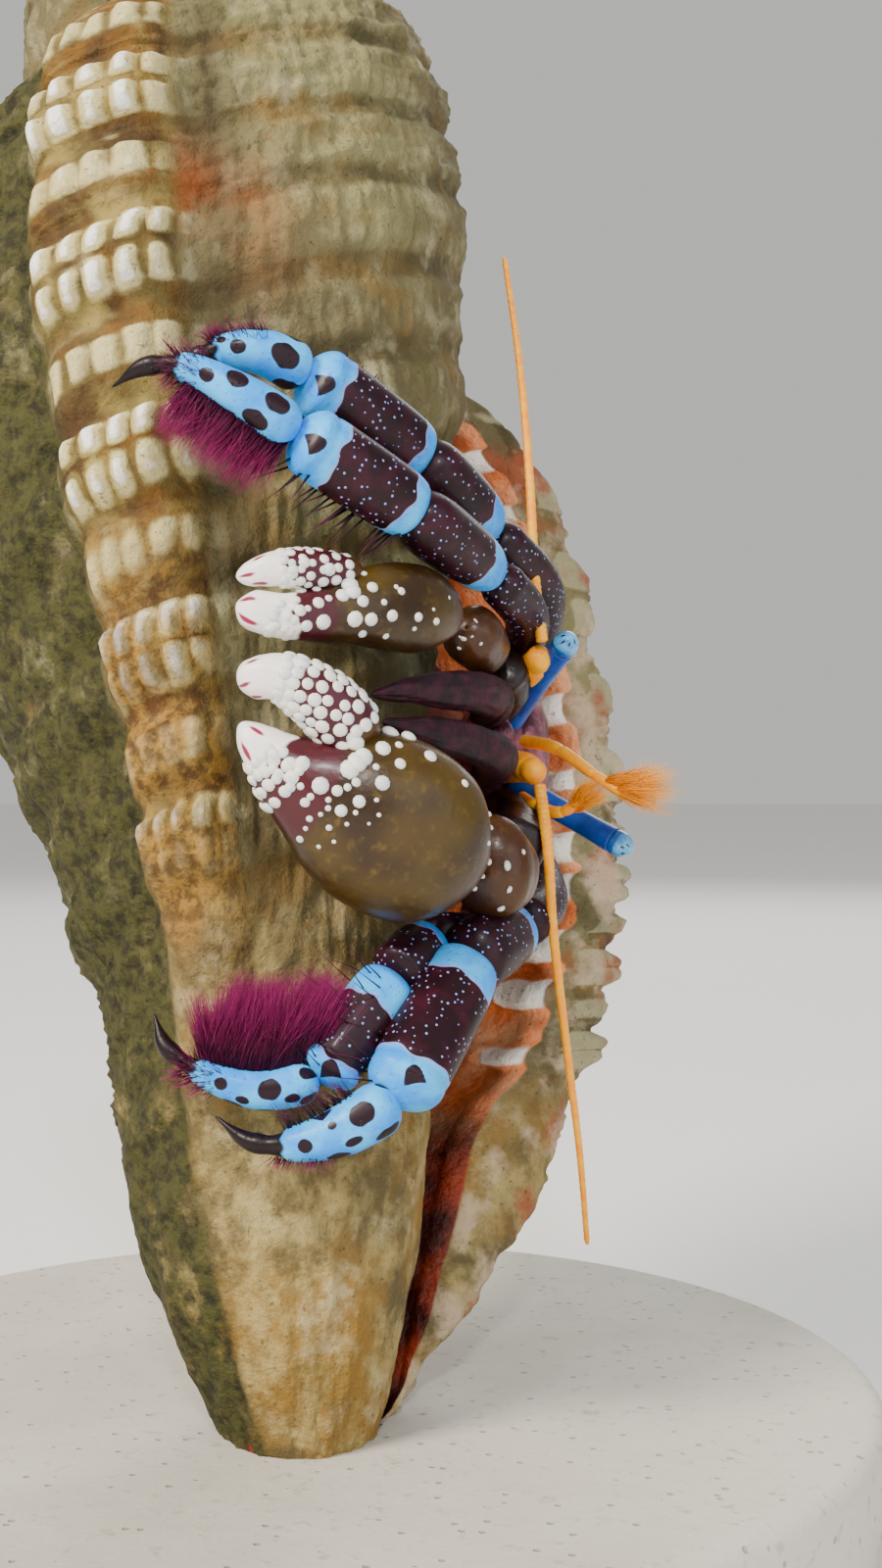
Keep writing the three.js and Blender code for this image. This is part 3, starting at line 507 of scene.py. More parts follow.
    def canal(self, r: Recipe) -> Socket:
        """Ochre and grey-olive clouds, lengthened a little along the canal, with worn pale patches."""
        return r.layers(
            r.blend(r.cloud(9, 0.4, 0.6, 4, 0.6), self.canal_dark, self.ochre),
            (r.step(r.noise(2.6, 5, 0.65, (1.0, 1.0, 0.8)), 0.42, 0.68), self.canal_pale),
            (r.times(r.cloud(5, 0.54, 0.7, 5, 0.65), 0.7), self.canal_worn),
            (r.times(r.cloud(7, 0.58, 0.7, 4), 0.6), self.canal_moss),
        )

    def lip(self, r: Recipe, paint: Socket, middle: Socket) -> Socket:
        """Red-brown and pinkish blotches on the lip's rim, orange glaze inside it that turns dark red-brown
        in the canal's groove, partly its own colour and partly painted shade, and white teeth.
        """
        blush = r.times(r.value("blush"), r.cloud(6, 0.5, 0.64, 5, 0.6))
        pale = r.times(r.value("blush"), r.cloud(4, 0.46, 0.62, 5, 0.6))
        glow = r.blend(r.cloud(4, 0.38, 0.66, 4), self.lining, self.lining_light)
        # shade: dark red-brown in the canal's groove, partly its own colour and partly painted shade
        shade = r.blend(r.step(middle, 0.4, 0.6), self.slot, self.slot_light)
        return r.layers(
            paint,
            (r.times(blush, 0.85), self.blush),
            (r.times(pale, 0.75), self.rim),
            (r.step(r.value("glaze"), 0.35, 0.65), r.blend(r.value("slot"), glow, shade)),
            (r.step(r.value("tooth"), 0.3, 0.55), self.tooth),
        )


@dataclass(frozen=True)
class LegCuticle:
    """Crab's leg cuticle, calcified chitin, naturally smooth: satin sky blue with maroon-black fields, pale
    specks in the dark and dark spots in the blue, which gives a wet painted look."""

    blue: str = "#0f8cf0"
    bright: str = "#3cb6fc"
    rim: str = "#b07aa0"
    spot: str = "#1d0614"
    dark: str = "#1c040e"
    dark_light: str = "#340a1a"
    speck: str = "#8ea2e2"
    nail: str = "#12040a"

    def make(self) -> bpy.types.Material:
        """Blue and dark meet at the stored boundary; specks are small evenly scattered cells."""
        r = Recipe("leg_cuticle_banded")
        dots = r.cells(0.36, 0.65)
        dark = r.blend(r.cloud(1.4, 0.4, 0.7), self.dark, self.dark_light)
        paint = r.layers(
            r.blend(r.cloud(1.8, 0.35, 0.65), self.blue, self.bright),
            (r.times(r.step(r.value("dark"), -0.2, -0.03), 0.5), self.rim),
            (r.step(r.value("spot"), -0.02, 0.03), self.spot),
            (r.step(r.value("dark"), -0.02, 0.03), r.blend(r.step(dots, 0.23, 0.15), dark, self.speck)),
            (r.step(r.value("nail"), -0.12, 0.12), self.nail),
        )
        looks = {"Specular_IOR_Level": 0.22, "Coat_Weight": 0.05, "Coat_Roughness": 0.12}
        return r.finish(paint, 0.4, r.step(dots, 0.26, 0.12), 0.03, **looks)


@dataclass(frozen=True)
class ClawCuticle:
    """Crab's claw cuticle, thick calcified chitin, smooth: olive brown with fine yellower clouds, redder
    towards the joints, darker on the underside of the palm and wrist as painted shade, nearly black on the
    arm, partly its own colour and partly painted shade, and glossy enough for a soft highlight."""

    olive: str = "#46350a"
    brown: str = "#2a1906"
    yellow: str = "#5e4a12"
    rust: str = "#4e260a"
    maroon: str = "#42101a"
    # black: the arm's own dark colour with painted shade, and painted shade under the palm and wrist
    black: str = "#17040c"
    white: str = "#efe9e6"
    mark: str = "#8c0f3c"

    def make(self) -> bpy.types.Material:
        """Olive and brown by a broad cloud, rust by the stored warmth, the rest by the stored fields."""
        r = Recipe("claw_cuticle_olive")
        paint = r.layers(
            r.blend(r.cloud(6, 0.38, 0.62, 2), self.olive, self.brown),
            (r.cloud(0.6, 0.5, 0.85, 4, 0.6), self.yellow),
            (r.value("warm"), self.rust),
            (r.step(r.value("maroon"), 0.3, 0.7), self.maroon),
            # Painted shade under the palm and wrist, and the arm's near-black, partly painted shade.
            (r.value("black"), self.black),
            (r.step(r.value("white"), -0.1, 0.1), self.white),
            (r.step(r.value("mark"), -0.03, 0.04), self.mark),
        )
        looks = {"Specular_IOR_Level": 0.3, "Coat_Weight": 0.1, "Coat_Roughness": 0.15}
        return r.finish(paint, 0.34, r.noise(0.35, 3), 0.03, **looks)


@dataclass(frozen=True)
class PlainCuticle:
    """A naturally smooth cuticle of two near colours: the clouding keeps it from looking like plastic."""

    name: str
    main: str
    other: str
    roughness: float = 0.38
    cloud_mm: float = 1.2
    relief_mm: float = 0.02
    coat: float = 0.2

    def make(self) -> bpy.types.Material:
        """Two colours by a cloud, with fine relief."""
        r = Recipe(self.name)
        paint = r.blend(r.cloud(self.cloud_mm, 0.35, 0.7), self.main, self.other)
        looks = {"Specular_IOR_Level": 0.3, "Coat_Weight": self.coat, "Coat_Roughness": 0.3}
        return r.finish(paint, self.roughness, r.noise(0.25, 3), self.relief_mm, **looks)


@dataclass(frozen=True)
class Bristle:
    """Chitin bristle, fine and matt: darker at the root, brighter towards the tip."""

    name: str
    root: str
    tip: str

    def make(self) -> bpy.types.Material:
        """From the root colour to the tip colour along each bristle."""
        r = Recipe(self.name)
        shade = r.plus(r.value("along"), r.times(r.value("shade"), 0.5))
        paint = r.blend(r.step(shade, 0.1, 1.2), self.root, self.tip)
        return r.finish(paint, 0.5, None, Specular_IOR_Level=0.25)


@dataclass(frozen=True)
class EyeSurface:
    """Cornea of a compound eye, clear hexagon facets over blue pigment: glossy, with a darker rim."""

    blue: str = "#2f8fd6"
    bright: str = "#5fb4ea"
    rim: str = "#0f58ac"
    pupil: str = "#04101f"
    facet_mm: float = 0.12

    def make(self) -> bpy.types.Material:
        """Light blue with a dark ring and small dark pupils, and facets in relief."""
        r = Recipe("compound_eye_cornea")
        paint = r.layers(
            r.blend(r.cloud(0.5, 0.35, 0.65, 2), self.blue, self.bright),
            (r.step(r.value("rim"), 0.3, 0.8), self.rim),
            (r.step(r.value("pupil"), 0.3, 0.7), self.pupil),
        )
        return r.finish(paint, 0.16, r.cells(self.facet_mm, 0.35), 0.01, Coat_Weight=0.4, Coat_Roughness=0.05)


@dataclass(frozen=True)
class HonedStone:
    """Pale limestone, sawn and honed: matt, with faint clouds and fine pores."""

    grey: str = "#b9b3a6"
    pale: str = "#cdc8bc"
    grain: str = "#a39c8d"
    pore: str = "#7d776b"

    def make(self) -> bpy.types.Material:
        """Two close greys in clouds 20 mm across, a finer grain, and pores 1.4 mm apart."""
        r = Recipe("honed_limestone")
        grain = r.noise(1.1, 5, 0.7)
        pores = r.step(r.cells(1.4), 0.16, 0.08)
        paint = r.layers(
            r.blend(r.cloud(20, 0.3, 0.7, 5), self.grey, self.pale),
            (r.step(grain, 0.55, 0.75), self.grain),
            (r.times(pores, 0.55), self.pore),
        )
        return r.finish(paint, 0.72, r.minus(grain, pores), 0.08)


@dataclass(frozen=True)
class StudioFloor:
    """Plain pale studio floor, painted board: matt and even, so that the object stands out."""

    grey: str = "#efeeeb"
    pale: str = "#f3f2ef"

    def make(self) -> bpy.types.Material:
        """One pale grey with very faint unevenness."""
        r = Recipe("painted_board_pale")
        return r.finish(r.blend(r.noise(60, 2), self.grey, self.pale), 0.85, None)


class Finish(Enum):
    """The finishes of the specimen, each made once."""

    SHELL = WeatheredShell()
    LEG = LegCuticle()
    CLAW = ClawCuticle()
    TUBERCLE = PlainCuticle("tubercle_enamel", "#ece8dc", "#cdd6da", 0.34, 0.8)
    EYESTALK = PlainCuticle("eyestalk_cuticle_blue", "#0b3f9e", "#1660c4", 0.32, 2.0)
    CORNEA = EyeSurface()
    FEELER = PlainCuticle("feeler_cuticle_orange", "#ff9a00", "#ffb60a", 0.42, 0.8, coat=0.1)
    BODY = PlainCuticle("body_cuticle_mauve", "#4a1c2c", "#9a5468", 0.42, 1.2, 0.06)
    # Near-black maroon of the maxillipeds: partly their own colour, partly painted shade between the claws.
    MOUTH = PlainCuticle("mouthpart_cuticle_maroon", "#18040e", "#3c0c22", 0.6, 0.9, 0.04, 0.0)
    ABDOMEN = PlainCuticle("soft_abdomen_skin", "#a05a4c", "#c08470", 0.5, 2.5, 0.08)
    MAGENTA = Bristle("bristle_chitin_magenta", "#3c0424", "#90085a")
    PURPLE = Bristle("bristle_chitin_dark", "#17020f", "#5a0f3c")
    AMBER = Bristle("bristle_chitin_orange", "#f08c00", "#ffb41e")
    STONE = HonedStone()
    FLOOR = StudioFloor()

    def material(self) -> bpy.types.Material:
        """The finish's material, made the first time it is asked for."""
        if self.name not in _MADE:
            _MADE[self.name] = self.value.make()
        return _MADE[self.name]


_MADE: dict[str, bpy.types.Material] = {}


def dress(name: str, surface: Surface, finish: Finish, nodes: Sequence[str]) -> bpy.types.Object:
    """Build a piece, give it its finish, and tie it to the frame.

    Args:
        name: the piece's name.
        surface: its closed surface or surfaces.
        finish: what it looks like.
        nodes: the frame's nodes that it stands for.

    Returns:
        The piece.
    """
    piece = surface.build(name)
    piece.data.materials.append(finish.material())
    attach(piece, "root")
    if nodes:
        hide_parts(*nodes)
    triangles = 2 * len(surface.quads) + len(surface.tris)
    LOG.info("%s: %d triangles", name, triangles)
    return piece


# ---- the shell
@dataclass(frozen=True)
class Spiral:
    """The shell's form: a profile swept round the axis. theta is 0 at the outer lip and falls towards the
    apex, t runs from the suture to the end of the canal, and the frame's apex is the origin, axis down."""

    whorl: Array
    lip: Array
    height: float = 124.0
    growth_per_turn: float = 1.7
    canal_growth: float = 0.21
    canal_start: float = 0.42
    canal_full: float = 0.82
    varix_spacing: float = 224 * DEG
    varix_width: float = 12.5 * DEG
    varix_height: float = 3.6
    varix_count: int = 9
    lip_spread: float = 48 * DEG
    lip_wall: float = 4.6
    cord_pitch: float = 4.85
    cord_start: float = 2.5
    cord_count: int = 10
    cord_depth: float = 0.9
    minor_cord: float = 0.4
    varix_cords: float = 1.4
    wall: float = 2.2
    cavity_arc: float = 190 * DEG
    cavity_top: float = 0.07
    cavity_foot: float = 0.74
    groove_arc: float = 24 * DEG
    groove_depth: float = 3.0
    overlap: float = 0.6
    clearance: float = 0.5
    least_half: float = 0.3
    least_wall: float = 0.7
    foot: Point = (-7.3, -11.0, -36.6)
    lean_x: float = -11 * DEG
    lean_y: float = -5 * DEG
    lean_z: float = 31 * DEG

    def growth(self, theta: Array, t: Array) -> Array:
        """Size at theta over size at the lip: exponential in theta, fading towards the canal."""
        fade = smooth(self.canal_start, self.canal_full, t) * (1 - self.canal_growth)
        level = smooth(self.canal_full, 1, t)
        return np.exp(math.log(self.growth_per_turn) / TURN * theta * (1 - fade) * (1 - level))

    def swell(self, theta: Array, t: Array) -> Array:
        """Height of an old lip along the profile."""
        form = np.maximum(np.sin(math.pi * np.minimum(t * 1.12 + 0.03, 1)), 0) ** 0.6
        return form * self.varix_height * self.growth(theta, t)

    def varix(self, theta: Array) -> Array:
        """How much of an old lip there is at theta, from 0 to 1: a broad crest with steep sides."""
        places = (theta + k * self.varix_spacing for k in range(self.varix_count))
        return sum(np.exp(-((place / self.varix_width) ** 4)) for place in places)

    def cord_phase(self, t: Array) -> Array:
        """Cords counted down from the suture on the latest old lip, whole numbers being the grooves."""
        old = np.full_like(t, -self.varix_spacing)
        return (self.depth(old, t) - self.depth(old, np.zeros_like(t)) - self.cord_start) / self.cord_pitch

    def cord_cut(self, theta: Array, t: Array) -> Array:
        """How far the cords' grooves lie below the strong cords' crests, in mm.

        Every cord has a flat crest between two grooves. Odd cords are strong and reach the plain surface,
        and even ones stay below it. Above the first groove and below the last the cut fades out.

        Args:
            theta: angles along the spiral.
            t: places down the profile.

        Returns:
            The cut on the whorl at theta.
        """
        phase = self.cord_phase(t)
        share = phase - np.floor(phase)
        crest = smooth(0.0, 0.3, share) * (1 - smooth(0.7, 1.0, share))
        top = np.where(np.floor(phase) % 2 == 1, 0.0, self.minor_cord)
        cut = self.cord_depth - (self.cord_depth - top) * crest
        above = np.clip(1 + phase * self.cord_pitch / self.cord_start, 0, 1)
        cut = np.where(phase < 0, self.cord_depth * above, cut)
        cut = np.where(phase > self.cord_count, self.cord_depth * (1 - smooth(0.73, 0.82, t)), cut)
        stand_out = 1 + (self.varix_cords - 1) * self.varix(theta)
        return cut * self.growth(theta, t) * stand_out

    def depth(self, theta: Array, t: Array) -> Array:
        """Depth below the apex."""
        return uniform_spline(self.whorl, t)[..., 1] * self.growth(theta, t)

    def radius(self, theta: Array, t: Array) -> Array:
        """Distance of the plain surface from the axis: the whorl, the widening lip and the old lips."""
        base = uniform_spline(self.whorl, t)[..., 0]
        lip = uniform_spline(self.lip, t)[..., 0]
        plain = base * self.growth(theta, t) + (lip - base) * bell(theta, self.lip_spread)
        return plain + self.varix(theta) * self.swell(theta, t)

    def profile_at(self, theta: Array, depth: Array) -> Array:
        """The place on the profile at theta that lies at a depth, by halving the range 24 times."""
        shape = np.broadcast(theta, depth).shape
        low = np.zeros(shape)
        high = np.ones(shape)
        for _ in range(24):
            middle = (low + high) / 2
            above = self.depth(theta, middle) < depth
            low = np.where(above, middle, low)
            high = np.where(above, high, middle)
        return (low + high) / 2

    def earlier(self, theta: Array, depth: Array) -> Array:
        """Radius of the whorl before, at the same side and depth."""
        before = theta - TURN
        return self.radius(before, self.profile_at(before, depth))

    def inner(self, theta: Array, t: Array) -> Array:
        """Radius of the wall's inner face at the same depth as the outer one.

        Where the shell is hollow it is the outer half of a lens between the wall and the earlier whorl;
        towards the lip the canal's groove opens below it; elsewhere it lies inside the earlier whorl, so
        that the whorl is filled.

        Args:
            theta: angles along the spiral.
            t: places down the profile.

        Returns:
            The radius, always less than the outer one.
        """
        depth = self.depth(theta, t)
        column = self.earlier(theta, depth)
        outer = self.radius(theta, t)
        filled = np.maximum(column - self.overlap, self.least_half)
        share = np.clip((t - self.cavity_top) / (self.cavity_foot - self.cavity_top), 0, 1)
        wall = self.wall + (self.lip_wall - self.wall) * bell(theta, 13 * DEG)
        middle = (outer - wall + column + self.clearance) / 2
        half = np.maximum((outer - wall - column - self.clearance) / 2, self.least_half)
        hollow = middle + half * (0.16 + 0.84 * np.sin(math.pi * share) ** 0.45)
        hollow = filled + (hollow - filled) * smooth(0.02, self.cavity_top, t)
        open_by = smooth(-self.groove_arc, -2 * DEG, theta)
        narrow = 1 - 0.5 * smooth(104, 119, depth)
        groove = filled + (0.9 + self.groove_depth * narrow) * open_by
        low = smooth(self.cavity_foot - 0.02, self.cavity_foot + 0.05, t)
        lined = hollow * (1 - low) + groove * low
        inside = smooth(-self.cavity_arc - 4 * DEG, -self.cavity_arc + 4 * DEG, theta)
        within = filled * (1 - inside) + lined * inside
        return np.minimum(within, outer - self.least_wall)

    def place(self, theta: Array, radius: Array, depth: Array) -> Array:
        """Places in the specimen's frame: about the axis, then leaned and set on the canal's foot."""
        shell = np.stack(
            np.broadcast_arrays(radius * np.cos(theta), -radius * np.sin(theta), self.height - depth), axis=-1
        )
        (cx, sx), (cy, sy), (cz, sz) = (
            (math.cos(a), math.sin(a)) for a in (self.lean_x, self.lean_y, self.lean_z)
        )
        about_x = np.array([[1, 0, 0], [0, cx, -sx], [0, sx, cx]])
        about_y = np.array([[cy, 0, sy], [0, 1, 0], [-sy, 0, cy]])
        about_z = np.array([[cz, -sz, 0], [sz, cz, 0], [0, 0, 1]])
        return shell @ (about_y @ about_x @ about_z).T + np.array(self.foot)


WHORL_PROFILE = np.array([
    (13.8, 60.0), (19.2, 62.7), (22.2, 68.5), (23.4, 76.0), (24.0, 83.9),
    (20.4, 92.0), (14.0, 100.1), (10.2, 108.2), (8.4, 116.3), (3.4, 124.0),
])
LIP_PROFILE = np.array([
    (13.8, 60.0), (19.2, 62.7), (21.8, 68.5), (22.8, 76.0), (23.6, 83.9),
    (23.4, 92.0), (21.8, 100.1), (18.2, 108.2), (12.2, 116.3), (4.0, 124.0),
])


@dataclass(frozen=True)
class Stretch:
    """One piece of the shell's spiral: where it starts and ends, and how finely it is cut."""

    name: str
    start: float
    end: float
    step: float
    rows: int
    nodes: tuple[str, ...]
    slot: str
    lip_edge: bool = False


@dataclass
class Shell:
    """The triton shell: beaded spiral cords, old lips, a toothed outer lip and a long open canal."""

    spiral: Spiral = field(default_factory=lambda: Spiral(WHORL_PROFILE, LIP_PROFILE))
    beads_per_turn: float = 72.0
    bead_height: float = 1.15
    rib_height: float = 0.3
    spire_lift: float = 0.45
    tooth_height: float = 1.5
    teeth: tuple[tuple[float, float], ...] = (
        (0.10, 0.8), (0.16, 1.1), (0.22, 0.8), (0.28, 1.1), (0.35, 0.8), (0.41, 1.15),
        (0.475, 0.8), (0.535, 1.1), (0.57, 1.0), (0.62, 1.1), (0.66, 1.0), (0.71, 0.7),
    )
    stretches: tuple[Stretch, ...] = (
        Stretch("shell_spire_top", -5.9 * 360, -2 * 360, 2.4, 70, (), "shell_tan"),
        Stretch("shell_spire_lower", -2 * 360, -360, 1.15, 150, ("shell_spire",), "shell_tan"),
        Stretch(
            "shell_last_whorl_front", -361, -180, 0.6, 310,
            ("shell_body_whorl", "shell_varix", "shell_siphonal_canal"), "shell_pale",
        ),
        Stretch(
            "shell_last_whorl_back", -180, -26, 1.0, 240,
            ("shell_body_whorl", "shell_siphonal_canal"), "canal_ochre",
        ),
        Stretch("shell_outer_lip_fine", -26, -4.5, 0.4, 320, ("shell_outer_lip",), "shell_orange", True),
    )

    def beads(self, theta: Array, t: Array) -> tuple[Array, Array]:
        """Rows of beads on the cords.

        A strong cord carries two rows of beads with a furrow between them, and a minor cord one row between
        two threads. A cosine of theta parts each row into beads, which stand in line from row to row.

        Args:
            theta: angles along the spiral.
            t: places down the profile.

        Returns:
            The height of the beads from 0 to 1, and the share of it that is pale.
        """
        phase = self.spiral.cord_phase(t) + 0.05 * ripple(theta * 1.3, t * 3, 11, 2)
        strong = np.floor(phase) % 2 == 1
        f = phase - np.floor(phase)
        away = np.abs(f - 0.5)
        double = smooth(0.03, 0.09, away) * (1 - smooth(0.34, 0.44, away))
        single = 1 - smooth(0.14, 0.22, away)
        threads = 0.45 * bell(away - 0.37, 0.05)
        turn = theta / TURN * self.beads_per_turn + 0.3 * ripple(theta * 4, phase * 0.7, 5, 2)
        crest = (0.5 + 0.5 * np.cos(TURN * turn)) ** 0.6
        bead = np.where(strong, 0.1, 0.3) + np.where(strong, 0.9, 0.7) * crest
        uneven = 0.75 + 0.25 * ripple(theta * 6, phase * 2.3, 17, 2)
        row = np.where(strong, double, 0.9 * single)
        near = np.clip(self.spiral.varix(theta) * 1.3, 0, 1)
        height = row * bead * uneven + threads * ~strong * (0.6 + 0.4 * bead)
        last = self.spiral.cord_count
        on_cords = smooth(-0.3, 0.1, phase) * smooth(last + 0.3, last - 0.8, phase)
        height = height * on_cords
        pale = (np.where(strong, 1.0, 0.8) * row * bead + 0.3 * threads) ** 1.3 * on_cords
        return height * (0.15 + 0.85 * near), pale * (0.06 + 0.94 * near)

    def relief(self, theta: Array, t: Array, glaze: Array) -> tuple[Array, Array]:
        """Relief of cords, beads, growth ribs, wear and crust.

        The cords' cut is taken off and the beads are added. On the spire the plain surface lies halfway up
        the cords. Growth ribs are a squared cosine of theta, wear is noise at two sizes, and the crust is
        coarser noise beside the old lips. Towards the outer lip the surface grows rugged.

        Args:
            theta: angles along the spiral.
            t: places down the profile.
            glaze: share of glaze, which smooths the relief away.

        Returns:
            The relief in mm above the plain surface, and the pale share for the material.
        """
        s = self.spiral
        grow = s.growth(theta, np.full_like(t, 0.3))
        height, pale = self.beads(theta, t)
        ribs = (0.5 + 0.5 * np.cos(theta * 17 + 0.6)) ** 2 * smooth(0.03, 0.12, t) * smooth(0.72, 0.5, t)
        spire = smooth(-TURN + 2 * DEG, -TURN - 12 * DEG, theta)
        canal = smooth(0.7, 0.82, t)
        across = (theta + 270 * DEG) * (1 - 0.65 * canal)
        worn = 0.1 * ripple(across * 9, t * 34, 3, 4) + 0.07 * ripple(across * 30, t * 90, 4, 3)
        streaks = 0.12 * canal * ripple(across * 9, t * 30, 6, 4)
        crust = 0.3 * ripple(across * 12, t * 40, 9, 4) * (1 - np.clip(s.varix(theta) * 1.3, 0, 1))
        rugged = ripple(theta * 14, t * 44, 8, 4) * smooth(-60 * DEG, -6 * DEG, theta) * (0.2 + 0.4 * canal)
        beads = height - 0.3 * smooth(0.0, 0.1, height)
        rise = self.bead_height * beads + self.rib_height * ribs + worn + streaks + rugged
        rise = rise + crust * smooth(0.03, 0.1, t)
        rise = rise * smooth(0.0, 0.02, t) + self.spire_lift * spire
        return (rise * grow - s.cord_cut(theta, t)) * (1 - 0.9 * glaze), pale

    def glazed(self, theta: Array, t: Array) -> Array:
        """Share of glaze on the outer face: where a later whorl's hollow covers it, and a little beyond."""
        suture = self.spiral.profile_at(theta, self.spiral.depth(theta + TURN, np.zeros_like(t)))
        covered = smooth(-0.01, 0.03, t - suture)
        return covered * smooth(-TURN + 15 * DEG, -TURN + 4 * DEG, theta)

    def last_place(self, theta: Array) -> Array:
        """Where the profile ends: at the canal near the opening, and just under the next suture above it."""
        below = self.spiral.depth(theta + TURN, np.zeros_like(theta)) * 1.03
        hidden = self.spiral.profile_at(theta, below)
        near = smooth(-600 * DEG, -560 * DEG, theta)
        return np.where(theta > -TURN - 1e-6, 1.0, np.maximum(hidden, near))

    def tooth_form(self, theta: Array, t: Array) -> Array:
        """Blocky teeth inside the lip: a flat-topped bell down the profile times one along the spiral."""
        forms = [size * np.exp(-(((t - at) / (0.0125 * size)) ** 4)) for at, size in self.teeth]
        return np.max(forms, axis=0) * np.exp(-(((theta + 8 * DEG) / (6.5 * DEG)) ** 4))

    def rounded_edge(self, theta: Array, outer: Array, inner: Array) -> list[tuple[Array, ...]]:
        """Rings that round the lip's edge over half an ellipse between the two faces.

        Args:
            theta: angle of the last ring.
            outer: radii of its outer face.
            inner: radii of its inner face.

        Returns:
            For each ring its angles, outer radii, inner radii and how far round it is from 0 to 1.
        """
        middle = (outer + inner) / 2
        half = (outer - inner) / 2
        rings = []
        for turn in np.linspace(10, 87, 9) * DEG:
            past = np.minimum(half, 1.6) * math.sin(turn) / np.maximum(middle, 4.0)
            reach = half * math.cos(turn) ** 0.7
            share = np.full_like(outer, turn / (90 * DEG))
            rings.append((theta + past, middle + reach, middle - reach, share))
        return rings

    def fields(self, theta: Array, t: Array, edge: Array, tooth: Array) -> dict[str, tuple[Array, Array]]:
        """Values that only the place on the shell decides.

        Args:
            theta: angles along the spiral.
            t: places down the profile.
            edge: how far round the lip's edge each place is, from 0 to 1.
            tooth: height of the lip's teeth from 0 to 1.

        Returns:
            For each value its arrays on the outer and the inner face.
        """
        s = self.spiral
        zero = np.zeros_like(t)
        low = smooth(0.7, 0.79, t)
        old_lip = np.clip(s.varix(theta) * smooth(-400 * DEG, -380 * DEG, theta), 0, 1)
        near_rim = smooth(-11.5 * DEG, -8 * DEG, theta) * (1 - smooth(0.5, 0.8, edge))
        stain = bell(theta + 238 * DEG, 15 * DEG) * bell(t - 0.43 + 0.15 * (theta + 243 * DEG), 0.045)
        return {
            "cut": (s.cord_cut(theta, t) / s.growth(theta, t), zero),
            "old_lip": (old_lip * (theta < -90 * DEG), zero),
            "run": (t, t),
            "tooth": (zero, tooth * near_rim),
            "weed": (smooth(-219 * DEG, -204 * DEG, theta) * smooth(-60 * DEG, -120 * DEG, theta), zero),
            "stain": (stain, zero),
            # A narrow band of painted shade beside the foot of the latest old lip.
            "grime": (0.8 * bell(theta + 244 * DEG, 5 * DEG) * smooth(0.1, 0.2, t), zero),
            "blush": (smooth(-80 * DEG, -15 * DEG, theta), 1 - smooth(0.9, 0.2, edge)),
            # slot: where the canal's groove takes its partly painted shade
            "slot": (low * smooth(-TURN + 18 * DEG, -TURN + 8 * DEG, theta), low),
        }

    def stretch(self, part: Stretch) -> Surface:
        """The closed wall over one stretch of the spiral.

        Each ring goes down the outer face and back up the inner face at the same depths. The ends are closed
        by a strip between the two faces, and at the lip the wall is rounded first.

        Args:
            part: the stretch.

        Returns:
            A closed surface with the values that the shell's material reads.
        """
        s = self.spiral
        start, end = part.start * DEG, part.end * DEG
        count = int(round((end - start) / (part.step * DEG))) + 1
        angles = np.linspace(start, end, count)
        theta = np.repeat(angles[:, None], part.rows, axis=1)
        t = np.linspace(0, 1, part.rows)[None, :] * self.last_place(angles)[:, None]
        glaze = self.glazed(theta, t)
        rise, pale = self.relief(theta, t, glaze)
        depth = s.depth(theta, t)
        tooth = self.tooth_form(theta, t) if part.lip_edge else np.zeros_like(t)
        outer = s.radius(theta, t) + rise
        inner = s.inner(theta, t) - self.tooth_height * tooth
        edge = np.zeros_like(t)
        if part.lip_edge:
            rings = self.rounded_edge(theta[-1], outer[-1], inner[-1])
            theta, outer, inner, edge = (
                np.concatenate([whole, np.stack([ring[k] for ring in rings])])
                for k, whole in enumerate((theta, outer, inner, edge))
            )
            t, pale, glaze, depth, tooth = (
                np.concatenate([value, np.repeat(value[-1:], len(rings), axis=0)])
                for value in (t, pale, glaze, depth, tooth)
            )
        loop = np.concatenate([s.place(theta, outer, depth), s.place(theta, inner, depth)[:, ::-1]], axis=1)
        pairs = self.fields(theta, t, edge, tooth)
        pairs["bead"] = (pale, np.zeros_like(t))
        pairs["glaze"] = (glaze, (1 - smooth(0.45, 0.8, edge)) * (theta > -5.8 * TURN))
        values = {label: np.concatenate([a, b[:, ::-1]], axis=1).ravel() for label, (a, b) in pairs.items()}
        ring = 2 * part.rows
        strip = np.arange(part.rows - 1)
        first_cap = np.stack([strip, ring - 1 - strip, ring - 2 - strip, strip + 1], axis=1)
        last_cap = first_cap[:, ::-1] + (len(theta) - 1) * ring
        faces = np.concatenate([ring_faces(len(theta), ring), first_cap, last_cap])
        return Surface(loop.reshape(-1, 3), faces, values=values).outward()

    def build(self) -> None:
        """Build every stretch of the shell."""
        for part in self.stretches:
            dress(part.name, self.stretch(part), Finish.SHELL, part.nodes)


